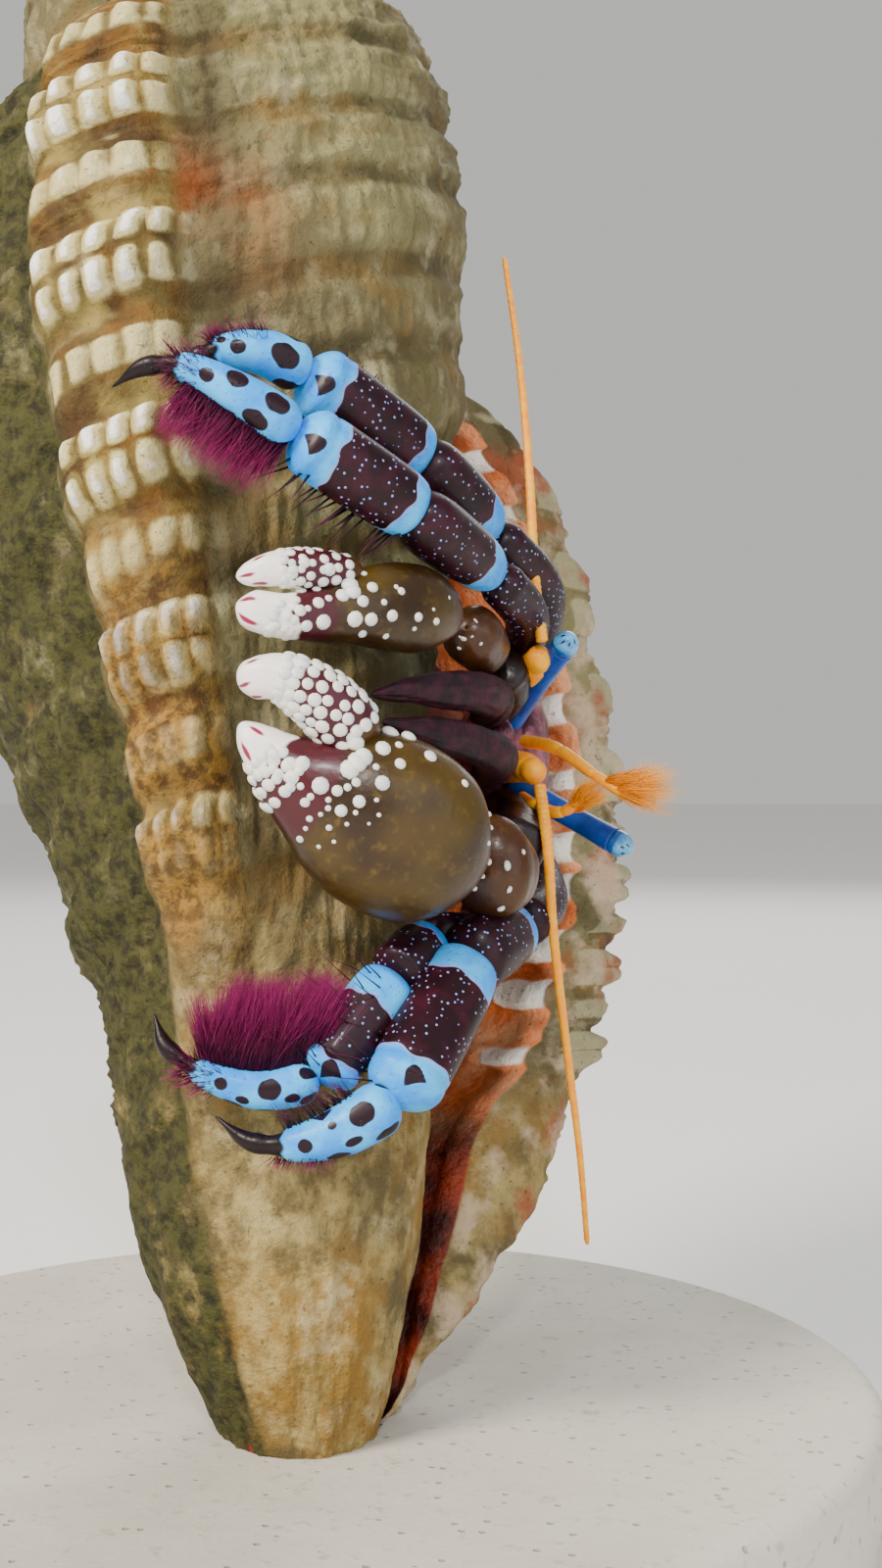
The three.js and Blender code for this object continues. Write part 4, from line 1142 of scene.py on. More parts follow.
# ---- limbs
@dataclass(frozen=True)
class Limb:
    """A rounded limb along a curve. Rows are (x, y, z, half width, half thickness) in mm, the thickness
    measured towards `face`. Angles go round from the width's side through the face."""

    rows: Rows
    face: Point = TOWARDS_FRONT
    rings: int = 80
    corners: int = 64
    start_round: float = 0.12
    end_round: float = 0.12
    boxy: float = 2.2

    def frame(self, share: Array) -> tuple[Array, Array, Array, Array, Array]:
        """Centre, direction, width's side, face's side and half sizes at shares of the path."""
        rows = np.array(self.rows, float)
        centre = limb_path(rows[:, :3], share)
        ahead = limb_path(rows[:, :3], np.minimum(share + 1e-3, 1))
        behind = limb_path(rows[:, :3], np.maximum(share - 1e-3, 0))
        along = unit(ahead - behind)
        face = np.array(self.face)
        deep = unit(face - along * (along @ face)[:, None])
        wide = np.cross(along, deep)
        sizes = uniform_spline(rows[:, 3:5], share)
        return centre, along, wide, deep, sizes

    def run(self, share: Array) -> Array:
        """Distance in mm along the path from its start to the shares."""
        steps = np.linspace(0, 1, 121)
        path = limb_path(np.array(self.rows, float)[:, :3], steps)
        lengths = np.concatenate([[0.0], np.cumsum(np.linalg.norm(np.diff(path, axis=0), axis=1))])
        return np.interp(share, steps, lengths)

    def length(self) -> float:
        """Length of the path."""
        return float(self.run(1.0))

    def girth(self, share: Array) -> Array:
        """Mean half size at the shares."""
        return uniform_spline(np.array(self.rows, float)[:, 3:5], share).mean(axis=-1)

    def dome(self, share: Array) -> Array:
        """How far the limb is drawn in towards its rounded ends: quarter ellipses, 1 between them."""
        start = np.clip(share / self.start_round, 0, 1)
        end = np.clip((1 - share) / self.end_round, 0, 1)
        return np.sqrt(np.maximum(1 - (1 - start) ** 2, 0) * np.maximum(1 - (1 - end) ** 2, 0))

    def superellipse(self, cos: Array, sin: Array) -> Array:
        """Reach of the cross-section beyond a circle: (|cos|^n + |sin|^n)^(-1/n), where n is `boxy`."""
        return (np.abs(cos) ** self.boxy + np.abs(sin) ** self.boxy) ** (-1 / self.boxy)

    def at(self, share: Array, angle: Array, lift: float) -> tuple[Array, Array, Array]:
        """Places on the limb with their outward and lengthwise directions.

        Args:
            share: along the path, from 0 to 1.
            angle: round the limb, in radians.
            lift: height above the surface in mm.

        Returns:
            Places, outward directions and lengthwise directions.
        """
        centre, along, wide, deep, sizes = self.frame(share)
        cos, sin = np.cos(angle)[:, None], np.sin(angle)[:, None]
        out = unit(wide * cos / sizes[:, :1] + deep * sin / sizes[:, 1:])
        bulge = self.superellipse(cos, sin)
        bulge = bulge * self.dome(share)[:, None]
        place = centre + (wide * cos * sizes[:, :1] + deep * sin * sizes[:, 1:]) * bulge
        return place + out * lift, out, along

    def grid(self) -> tuple[Array, Array]:
        """Shares and angles of the limb's rings, closer together at its rounded ends."""
        even = np.linspace(0, 1, self.rings)
        share = even - np.sin(TURN * even) / (1.25 * TURN)
        angle = np.linspace(0, TURN, self.corners, endpoint=False) - math.pi / 2
        return np.meshgrid(share, angle, indexing="ij")

    def surface(self, relief: Relief | None = None) -> Surface:
        """The closed limb: superellipse rings along the path, drawn in to domes at both ends.

        Args:
            relief: height in mm above the plain limb at shares and angles.

        Returns:
            The surface, with the values share and angle for patterns.
        """
        share, angle = self.grid()
        centre, _, wide, deep, sizes = self.frame(share[:, 0])
        dome = self.dome(share[:, 0])
        cos, sin = np.cos(angle), np.sin(angle)
        bulge = self.superellipse(cos, sin)
        lift = relief(share, angle) * dome[:, None] if relief else np.zeros_like(share)
        out = wide[:, None] * (cos / sizes[:, :1])[..., None]
        out = unit(out + deep[:, None] * (sin / sizes[:, 1:])[..., None])
        spread = wide[:, None] * (cos * bulge * sizes[:, :1])[..., None]
        spread = spread + deep[:, None] * (sin * bulge * sizes[:, 1:])[..., None]
        rings = centre[:, None] + spread * dome[:, None, None] + out * lift[..., None]
        return capped_tube(rings, {"share": share, "angle": angle}).outward()

    def plain(self, relief: Relief | None = None) -> Surface:
        """The closed limb without values."""
        made = self.surface(relief)
        made.values.clear()
        return made


def round_rows(points: Sequence[Point], start: float, end: float) -> Rows:
    """Rows of a round limb through the points, whose radius goes evenly from start to end."""
    return tuple((*p, r, r) for p, r in zip(points, np.linspace(start, end, len(points))))


@dataclass(frozen=True)
class Spot:
    """A dark spot: its share of the length, angle in degrees, half sizes in mm along and across the limb, and
    how much it narrows away from its upper side (0 for an oval, near 1 for a triangle)."""

    share: float
    angle: float
    along: float
    across: float
    taper: float = 0.0


def spot_field(limb: Limb, share: Array, angle: Array, spots: Sequence[Spot]) -> Array:
    """Signed distance in mm to the nearest spot's edge, positive inside.

    Each spot is an ellipse on the limb's unrolled surface, whose half size along the limb shrinks in step
    with the place across it. The distance is one less the scaled radius, times the smaller half size.

    Args:
        limb: what the spots lie on.
        share: shares along the limb.
        angle: angles round it.
        spots: the spots.

    Returns:
        The distance at each place.
    """
    run = limb.run(share)
    girth = limb.girth(share)
    best = np.full(share.shape, -FAR)
    for spot in spots:
        turn = ((angle - spot.angle * DEG + math.pi) % TURN - math.pi) * girth / spot.across
        turn = turn * (1 + 0.06 * np.sin(run * 9 + spot.angle))
        width = spot.along * (1 - spot.taper * np.clip(turn, -1, 1))
        scaled = np.hypot((run - limb.run(spot.share)) / width, turn)
        best = np.maximum(best, (1 - scaled) * min(spot.along, spot.across))
    return best


@dataclass(frozen=True)
class LegPart:
    """A segment's markings: the shares between which it is dark, how far that field bulges at both ends, how
    jagged its edge is, its spots, and where its nail starts. Starts over 1 mean that there is none."""

    dark_from: float = 2.0
    dark_to: float = 3.0
    bulge: float = 0.0
    jag: float = 0.1
    spots: tuple[Spot, ...] = ()
    nail: float = 2.0


def taken(surface: Surface) -> tuple[Array, Array]:
    """A limb surface's share and angle values, which are taken off it."""
    return surface.values.pop("share"), surface.values.pop("angle")


def mark_leg(limb: Limb, surface: Surface, part: LegPart) -> Surface:
    """Store the boundary, spot and nail distances for the leg's material.

    The boundary is the distance along the limb to the nearer end of the dark field, moved out by `bulge` on
    the side that faces the viewer and by two sine waves round the limb.

    Args:
        limb: the segment.
        surface: its surface, whose share and angle values are used up.
        part: its markings.

    Returns:
        The same surface with its new values.
    """
    share, angle = taken(surface)
    run = limb.run(share)
    wavy = part.jag * (np.sin(angle * 5 + 0.7) + 0.6 * np.sin(angle * 9 + 2))
    wavy = wavy + part.bulge * np.cos(angle - 80 * DEG)
    length = limb.length()
    start = run - part.dark_from * length + wavy
    end = part.dark_to * length - run + wavy
    surface.values["dark"] = np.minimum(start, end)
    surface.values["spot"] = spot_field(limb, share, angle, part.spots)
    nail = run - limb.run(min(part.nail, 1.0)) - FAR * (part.nail > 1)
    surface.values["nail"] = nail + 0.1 * np.sin(angle * 5)
    return surface


@dataclass(frozen=True)
class Bristles:
    """A patch of bristles on a limb: its segment and finish, where it grows, how many, how long, how thick,
    and how it lies."""

    part: str
    finish: Finish
    start: float
    end: float
    angle_from: float
    angle_to: float
    count: int
    length: tuple[float, float]
    thick: float
    lean: float
    sweep: Point = (0.0, 0.0, 0.0)
    curl: float = 0.25
    seed: int = 1
    sunk: float = 0.05
    levels: tuple[float, ...] = (0.0, 0.3, 0.65, 1.0)

    def grow(self, limb: Limb) -> Surface:
        """Tapered three-sided bristles on the limb.

        Each leaves the skin between its outward and lengthwise directions by `lean`, is pulled towards
        `sweep`, and bends by `curl` of its length.

        Args:
            limb: what they grow on.

        Returns:
            One surface of all of them, with along and shade values and its unwrap.
        """
        draw = np.random.default_rng(self.seed)
        n = self.count
        share = draw.uniform(self.start, self.end, n)
        angle = draw.uniform(self.angle_from, self.angle_to, n) * DEG
        place, out, along = limb.at(share, angle, -self.sunk)
        jitter = draw.normal(0, 0.14, (n, 3))
        heading = unit(out * (1 - abs(self.lean)) + along * self.lean + np.array(self.sweep) + jitter)
        size = draw.uniform(*self.length, n)
        bend = unit(np.array(self.sweep) + along * self.lean + draw.normal(0, 0.3, (n, 3))) * self.curl
        side = unit(np.cross(heading, draw.normal(0, 1, (n, 3))))
        rings = self.stalks(place, heading, bend, size, side)
        last = len(self.levels) * 3 - 1
        caps = np.array([[2, 1, 0], [last - 2, last - 1, last]])
        made = stamped(rings.reshape(n, -1, 3), ring_faces(len(self.levels), 3), caps)
        level = np.broadcast_to(np.array(self.levels)[None, :, None], (n, len(self.levels), 3))
        shade = np.broadcast_to(draw.uniform(-0.5, 0.5, n)[:, None, None], level.shape)
        made.values = {"along": level.ravel(), "shade": shade.ravel()}
        made.roots = self.unwrap(share, angle, level)
        return made.outward()

    def stalks(self, place: Array, heading: Array, bend: Array, size: Array, side: Array) -> Array:
        """Rings of the stalks.

        The middle line is place + size * (heading * s + bend * s^2), and the half thickness is
        thick / 2 * (1 - s)^0.7.

        Args:
            place: roots.
            heading: directions at the root.
            bend: sideways bend as a share of the length.
            size: lengths.
            side: directions square to the heading.

        Returns:
            (count, levels, 3, 3) places.
        """
        levels = np.array(self.levels)
        s = levels[None, :, None]
        middle = place[:, None] + size[:, None, None] * (heading[:, None] * s + bend[:, None] * s**2)
        radius = self.thick / 2 * np.maximum(1 - levels, 0.04) ** 0.7
        turns = np.arange(3) * TURN / 3
        ring = side[:, None, None] * np.cos(turns)[None, None, :, None]
        ring = ring + np.cross(heading, side)[:, None, None] * np.sin(turns)[None, None, :, None]
        return middle[:, :, None] + ring * radius[None, :, None, None]

    def unwrap(self, share: Array, angle: Array, level: Array) -> Array:
        """Places in the unwrap: a small patch for each bristle, by the share and angle of its root."""
        margin, spread, patch = 0.02, 0.95, 0.003
        u = margin + spread * (share[:, None, None] % 1) + patch * level
        v = margin + spread * ((angle / TURN)[:, None, None] % 1) + patch * np.array([0, 0.5, 1])
        return np.stack(np.broadcast_arrays(u, v), axis=-1).reshape(-1, 2)


def domes(place: Array, out: Array, along: Array, size: Array, tall: float) -> Surface:
    """Rounded tubercles: half ellipsoids on the skin, sunk a little into it.

    Each is four rings of ten corners at heights sin(a) and radii cos(a), closed by a fan above and below.

    Args:
        place: where they stand.
        out: outward directions.
        along: lengthwise directions.
        size: radii in mm.
        tall: height as a share of the radius.

    Returns:
        One surface of all the tubercles.
    """
    long, sunk = 1.05, 0.6
    corners = 10
    n = len(place)
    rise = np.array([-30.0, 5.0, 35.0, 62.0]) * DEG
    turns = np.arange(corners) * TURN / corners
    across = unit(np.cross(out, along))
    forward = np.cross(across, out)
    r = size[:, None, None]
    flat = forward[:, None, None] * (np.cos(turns) * long)[None, None, :, None]
    flat = flat + across[:, None, None] * np.sin(turns)[None, None, :, None]
    points = place[:, None, None] + r[..., None] * flat * np.cos(rise)[None, :, None, None]
    points = points + out[:, None, None] * (r * tall * np.sin(rise)[None, :, None])[..., None]
    top = place + out * (size * tall)[:, None]
    foot = place - out * (size * tall * sunk)[:, None]
    whole = np.concatenate([points.reshape(n, -1, 3), top[:, None], foot[:, None]], axis=1)
    rings = len(rise)
    ends = rings * corners
    here = np.arange(corners)
    after = (here + 1) % corners
    last = ends - corners
    fan_top = np.stack([last + here, last + after, np.full(corners, ends)], axis=1)
    fan_foot = np.stack([after, here, np.full(corners, ends + 1)], axis=1)
    return stamped(whole, ring_faces(rings, corners), np.concatenate([fan_top, fan_foot])).outward()


@dataclass
class WalkingLeg:
    """One walking leg: hip, bend, knee, wrist, ankle, instep, toe, nail and tip, its girth, the shares of the
    propodus that are dark, and the numbers of the spots on its last segment."""

    name: str
    joints: tuple[Point, ...]
    girth: float
    dark: tuple[float, float]
    spots: Rows

    def segment(self, start: Point, end: Point, form: Sequence[Point]) -> Rows:
        """Rows of a straight segment from shares of its length and sizes in girths."""
        a, b = np.array(start), np.array(end)
        return tuple((*(a + (b - a) * s), w * self.girth, d * self.girth) for s, w, d in form)

    def limbs(self) -> dict[str, Limb]:
        """The four segments from the toe back to the hip.

        Returns:
            The limbs by the name of their segment.
        """
        g = self.girth
        hip, bend, knee, wrist, ankle, instep, toe, nail, tip = self.joints
        dactyl = (
            (*ankle, 0.72 * g, 0.7 * g), (*instep, 0.62 * g, 0.6 * g), (*toe, 0.4 * g, 0.4 * g),
            (*nail, 0.36, 0.36), (*tip, 0.07, 0.07),
        )
        long_form = (
            (-0.02, 0.8, 0.76), (0.16, 0.98, 0.92), (0.5, 1.03, 0.98), (0.82, 1.02, 0.94), (1.02, 0.92, 0.84),
        )
        short_form = ((0.0, 0.7, 0.68), (0.4, 0.92, 0.88), (0.8, 0.98, 0.92), (1.06, 0.84, 0.8))
        propodus = self.segment(wrist, ankle, long_form)
        carpus = self.segment(knee, wrist, short_form)
        merus = ((*hip, 0.66 * g, 0.6 * g), (*bend, 0.74 * g, 0.72 * g), (*knee, 0.74 * g, 0.7 * g))
        return {
            "dactyl": Limb(dactyl, rings=110, corners=72, start_round=0.1, end_round=0.04),
            "propodus": Limb(propodus, start_round=0.16, end_round=0.16),
            "carpus": Limb(carpus, start_round=0.2, end_round=0.2),
            "merus": Limb(merus, rings=60, corners=48, start_round=0.1, end_round=0.08),
        }

    def relief(self, part: str) -> Relief:
        """The relief of a segment: the propodus ends in a knuckle, and the nail is narrower than the toe."""
        if part == "propodus":
            return lambda share, angle: (
                0.2 * bell(share - 0.9, 0.09) * (0.5 + 0.5 * np.cos(angle - 95 * DEG)) ** 2
                - 0.07 * bell(share - 0.77, 0.02) + 0.03 * np.sin(angle * 3)
            )
        if part == "dactyl":
            return lambda share, angle: (
                -0.16 * smooth(0.49, 0.53, share) * smooth(0.75, 0.56, share)
                + 0.1 * smooth(0.6, 0.7, share) * smooth(0.95, 0.8, share)
            )
        return lambda share, angle: 0.03 * np.sin(angle * 3 + 6 * share)

    def build(self) -> dict[str, Limb]:
        """Build and mark the segments."""
        knuckle = Spot(0.9, 98, 0.38, 0.56, 0.85)
        marks = {
            "dactyl": LegPart(spots=tuple(Spot(*numbers) for numbers in self.spots), nail=0.51),
            "propodus": LegPart(*self.dark, 0.45, spots=(knuckle,)),
            "carpus": LegPart(0.34, 2.0, 0.15),
            "merus": LegPart(-1.0, 2.0),
        }
        limbs = self.limbs()
        for part, limb in limbs.items():
            surface = mark_leg(limb, limb.surface(self.relief(part)), marks[part])
            node = f"leg_{self.name}_{part}"
            dress(f"{node}_fine", surface, Finish.LEG, (node,))
        return limbs


LEGS = (
    WalkingLeg(
        "right_third",
        ((3.6, 2.6, 5.6), (5.0, -4.0, 9.4), (3.1, -9.8, 11.3), (-1.2, -17.0, 13.8), (-7.0, -20.9, 17.2),
         (-9.8, -21.9, 18.9), (-12.6, -22.3, 20.2), (-14.4, -22.1, 20.2), (-16.0, -21.8, 19.3)),
        1.75, (0.24, 0.70),
        ((0.385, 92, 0.37, 0.36), (0.285, 58, 0.55, 0.48), (0.13, 62, 0.66, 0.52),
         (0.165, 128, 0.7, 0.48), (0.3, 172, 0.6, 0.36), (0.02, 165, 0.7, 0.4)),
    ),
    WalkingLeg(
        "right_second",
        ((4.4, 5.4, 5.8), (6.0, -1.5, 11.0), (3.0, -7.6, 14.0), (-1.0, -13.0, 17.2), (-6.8, -17.4, 20.9),
         (-9.0, -18.7, 21.7), (-11.2, -19.3, 21.6), (-12.2, -19.4, 21.3), (-13.0, -19.2, 20.7)),
        1.85, (0.22, 0.74),
        ((0.39, 92, 0.38, 0.38), (0.17, 88, 0.72, 0.62), (0.29, 14, 0.6, 0.4),
         (0.14, 16, 0.75, 0.42, 0.5), (0.08, 160, 0.9, 0.6), (0.47, 60, 0.22, 0.22)),
    ),
    WalkingLeg(
        "left_second",
        ((4.4, 4.6, -2.4), (6.0, -2.0, -6.6), (4.5, -7.6, -7.9), (1.5, -14.0, -9.2), (-2.2, -20.1, -15.5),
         (-4.9, -20.6, -17.1), (-7.6, -20.4, -17.8), (-9.5, -20.0, -17.7), (-11.3, -19.2, -16.6)),
        2.0, (0.30, 0.77),
        ((0.4, 92, 0.37, 0.36), (0.15, 72, 0.66, 0.56), (0.29, 148, 0.52, 0.36), (0.1, 142, 0.72, 0.34),
         (0.3, 20, 0.5, 0.4, 0.6), (0.01, 20, 0.5, 0.5), (0.27, 62, 0.24, 0.2), (0.22, 116, 0.4, 0.24)),
    ),
    WalkingLeg(
        "left_third",
        ((2.8, 2.6, -2.4), (2.1, -6.0, -8.0), (-0.4, -13.0, -8.0), (-2.4, -16.2, -9.9),
         (-6.1, -18.6, -14.8), (-9.2, -18.9, -15.3), (-12.2, -19.0, -14.3), (-13.8, -18.7, -13.2),
         (-14.5, -18.2, -11.6)),
        1.65, (0.38, 0.78),
        ((0.39, 92, 0.34, 0.32), (0.2, 84, 0.6, 0.54), (0.33, 158, 0.5, 0.3), (0.22, 165, 0.42, 0.3),
         (0.04, 60, 0.45, 0.4), (0.06, 140, 0.5, 0.36), (0.3, 122, 0.34, 0.24), (0.12, 118, 0.4, 0.26)),
    ),
)

BRUSHES: dict[str, tuple[Bristles, ...]] = {
    "right_third": (
        Bristles("dactyl", Finish.MAGENTA,
                 0.02, 0.46, 148, 205, 1500, (1.0, 2.5), 0.055, 0.3, (-0.1, 0.1, -0.5), 0.35, 21),
        Bristles("dactyl", Finish.MAGENTA,
                 0.4, 0.56, -40, 200, 150, (0.5, 1.2), 0.05, 0.45, (0, 0, 0), 0.2, 28),
        Bristles("propodus", Finish.PURPLE,
                 0.1, 0.95, 145, 195, 26, (1.2, 2.5), 0.16, 0.35, (-0.3, 0.0, -0.3), 0.1, 22),
    ),
    "right_second": (
        Bristles("dactyl", Finish.MAGENTA,
                 0.25, 0.56, -50, 70, 170, (0.4, 1.0), 0.05, 0.35, (0, 0, 0), 0.2, 23),
        Bristles("propodus", Finish.PURPLE,
                 0.5, 1.0, -20, 20, 5, (0.5, 0.8), 0.14, 0.1, (0, 0, 0), 0.1, 29),
    ),
    "left_second": (
        Bristles("dactyl", Finish.MAGENTA,
                 0.3, 0.6, 130, 230, 130, (0.4, 0.9), 0.05, 0.3, (0, 0, 0), 0.2, 24),
        Bristles("dactyl", Finish.PURPLE,
                 0.1, 0.5, -30, 20, 60, (0.6, 1.4), 0.09, 0.3, (-0.1, 0, 0.2), 0.2, 30),
        Bristles("propodus", Finish.PURPLE,
                 0.3, 1.0, -30, 20, 18, (1.4, 2.6), 0.12, 0.3, (-0.2, 0, 0.2), 0.2, 25),
    ),
    "left_third": (
        Bristles("dactyl", Finish.MAGENTA,
                 0.0, 0.2, -60, 30, 2300, (2.4, 4.2), 0.06, 0.0, (0.55, 0.1, 0.5), 0.3, 26),
        Bristles("dactyl", Finish.MAGENTA,
                 0.15, 0.5, -60, 26, 2600, (2.2, 4.0), 0.06, 0.0, (0.2, 0.1, 0.6), 0.3, 31),
        Bristles("dactyl", Finish.MAGENTA,
                 0.34, 0.52, -50, 20, 700, (1.2, 3.2), 0.05, 0.2, (-0.25, 0.1, 0.5), 0.25, 32),
        Bristles("dactyl", Finish.MAGENTA,
                 0.4, 0.6, 20, 220, 170, (0.5, 1.2), 0.05, 0.4, (0, 0, 0), 0.2, 33),
        Bristles("propodus", Finish.PURPLE,
                 0.2, 1.0, -40, 80, 34, (1.4, 3.0), 0.1, 0.3, (-0.1, -0.1, 0.4), 0.2, 27),
    ),
}


Knob = tuple[float, float, float]


@dataclass
class Claw:
    """A claw: movable finger, palm with its fixed finger, wrist and arm, with tubercles in its skin."""

    side: str
    finger: Rows
    palm: Rows
    carpus: Rows
    merus: Rows
    finger_white: float
    palm_white: float
    cobbles: tuple[float, float, float]
    knobs: dict[str, tuple[Knob, ...]]
    seed: int
    cobble_height: float = 0.5
    knob_height: float = 0.66

    def limbs(self) -> dict[str, Limb]:
        """The four segments."""
        return {
            "finger": Limb(self.finger, rings=90, corners=72, start_round=0.14, end_round=0.16, boxy=2.3),
            "palm": Limb(self.palm, rings=120, corners=96, start_round=0.16, end_round=0.12, boxy=2.2),
            "carpus": Limb(self.carpus, start_round=0.3, end_round=0.3),
            "merus": Limb(self.merus, start_round=0.12, end_round=0.12),
        }

    def marked(self, part: str, limb: Limb) -> Surface:
        """A segment with the fields that its material reads.

        Args:
            part: which segment.
            limb: its form.

        Returns:
            The surface with white, maroon, warm, black and mark values.
        """
        surface = limb.surface(lambda share, angle: 0.05 * ripple(share * 5, angle, self.seed, 3))
        share, angle = taken(surface)
        run, length = limb.run(share), limb.length()
        zero = np.zeros_like(share)
        fields = {"white": zero - FAR, "maroon": zero, "warm": zero, "black": zero, "mark": zero - FAR}
        scallop = 0.22 * np.sin(angle * 3 + 0.5) + 0.1 * np.sin(angle * 7)
        if part == "finger":
            fields["white"] = run - self.finger_white * length + scallop
            fields["maroon"] = smooth(0.06, 0.2, share)
            fields["warm"] = 0.8 * smooth(0.2, 0.0, share)
            streaks = (Spot(0.9, 100, 0.42, 0.1), Spot(0.8, 150, 0.4, 0.14), Spot(0.76, 40, 0.3, 0.1))
            fields["mark"] = spot_field(limb, share, angle, streaks)
        if part == "palm":
            fields["white"] = run - self.palm_white * length + scallop
            fields["maroon"] = smooth(0.5, 0.68, share + 0.06 * np.sin(angle))
            lower_side = smooth(50 * DEG, 0, angle) * smooth(0.6, 0.3, share)
            fields["warm"] = 0.7 * smooth(0.14, 0.0, share) + 0.35 * lower_side
            # Painted shade: the palm's lower and back side darker.
            fields["black"] = 0.75 * smooth(120 * DEG, 200 * DEG, angle)
            streaks = (Spot(0.9, 60, 0.4, 0.12), Spot(0.85, 130, 0.5, 0.14))
            fields["mark"] = spot_field(limb, share, angle, streaks)
        if part == "carpus":
            fields["warm"] = 0.5 + zero
            # Painted shade: the wrist's lower and back side darker.
            fields["black"] = 0.6 * smooth(120 * DEG, 190 * DEG, angle)
        if part == "merus":
            # The arm nearly black: partly its own dark colour, partly painted shade between the claws.
            fields["black"] = 0.94 + zero
        surface.values.update(fields)
        return surface

    def paved(self, limb: Limb, start: float, end: float, low: float, high: float) -> Surface:
        """Closely set tubercles on a jittered six-sided lattice over the unrolled skin.

        Rows lie 0.87 gaps apart and every other row is shifted by half a gap. Each tubercle moves by up to an
        eighth of a gap and has a radius drawn from the claw's range.

        Args:
            limb: what they stand on.
            start: share at which they begin.
            end: share at which they stop.
            low: first angle in degrees.
            high: last angle in degrees.

        Returns:
            One surface of all of them.
        """
        gap, small, large = self.cobbles
        draw = np.random.default_rng(self.seed + int(start * 100))
        span = float(limb.run(end) - limb.run(start))
        girth = float(limb.girth((start + end) / 2))
        rows = max(int(span / (0.87 * gap)), 1)
        columns = max(int((high - low) * DEG * girth / gap), 1)
        i, j = np.meshgrid(np.arange(rows), np.arange(columns), indexing="ij")
        shift = draw.uniform(-0.13, 0.13, (2, rows, columns))
        share = start + (i + 0.5 + shift[0]) / rows * (end - start)
        turn = low + (j + 0.5 + 0.5 * (i % 2) - 0.25 + shift[1]) / columns * (high - low)
        place, out, along = limb.at(share.ravel(), turn.ravel() * DEG, -0.03)
        radius = draw.uniform(small, large, share.size) * (limb.girth(share.ravel()) / girth) ** 0.5
        return domes(place, out, along, radius, self.cobble_height)

    def set_in(self, limb: Limb, knobs: Sequence[Knob]) -> Surface:
        """Single tubercles at places on the side that faces the viewer.

        Each stands at the place on a fine grid over the front whose x and z come nearest to its own.

        Args:
            limb: what they stand on.
            knobs: x and z in mm, and the radius in mm.

        Returns:
            One surface of all of them.
        """
        x, z, radius = np.array(knobs).T
        grid = np.meshgrid(np.linspace(0.02, 0.98, 160), np.linspace(4, 176, 87) * DEG, indexing="ij")
        share, angle = (axis.ravel() for axis in grid)
        place = limb.at(share, angle, 0.0)[0]
        near = np.argmin((place[:, None, 0] - x) ** 2 + (place[:, None, 2] - z) ** 2, axis=0)
        place, out, along = limb.at(share[near], angle[near], -0.02)
        return domes(place, out, along, radius, self.knob_height)

    def build(self) -> None:
        """Build the segments and their tubercles."""
        limbs = self.limbs()
        for part, limb in limbs.items():
            node = f"claw_{self.side}_{part}"
            dress(f"{node}_fine", self.marked(part, limb), Finish.CLAW, (node,))
        groups = [
            self.paved(limbs["finger"], 0.1, self.finger_white - 0.03, -20, 195),
            self.paved(limbs["palm"], 0.64, self.palm_white - 0.04, 62, 200),
        ]
        groups += [self.set_in(limbs[part], knobs) for part, knobs in self.knobs.items()]
        dress(f"claw_{self.side}_tubercles", merged(groups), Finish.TUBERCLE, ())


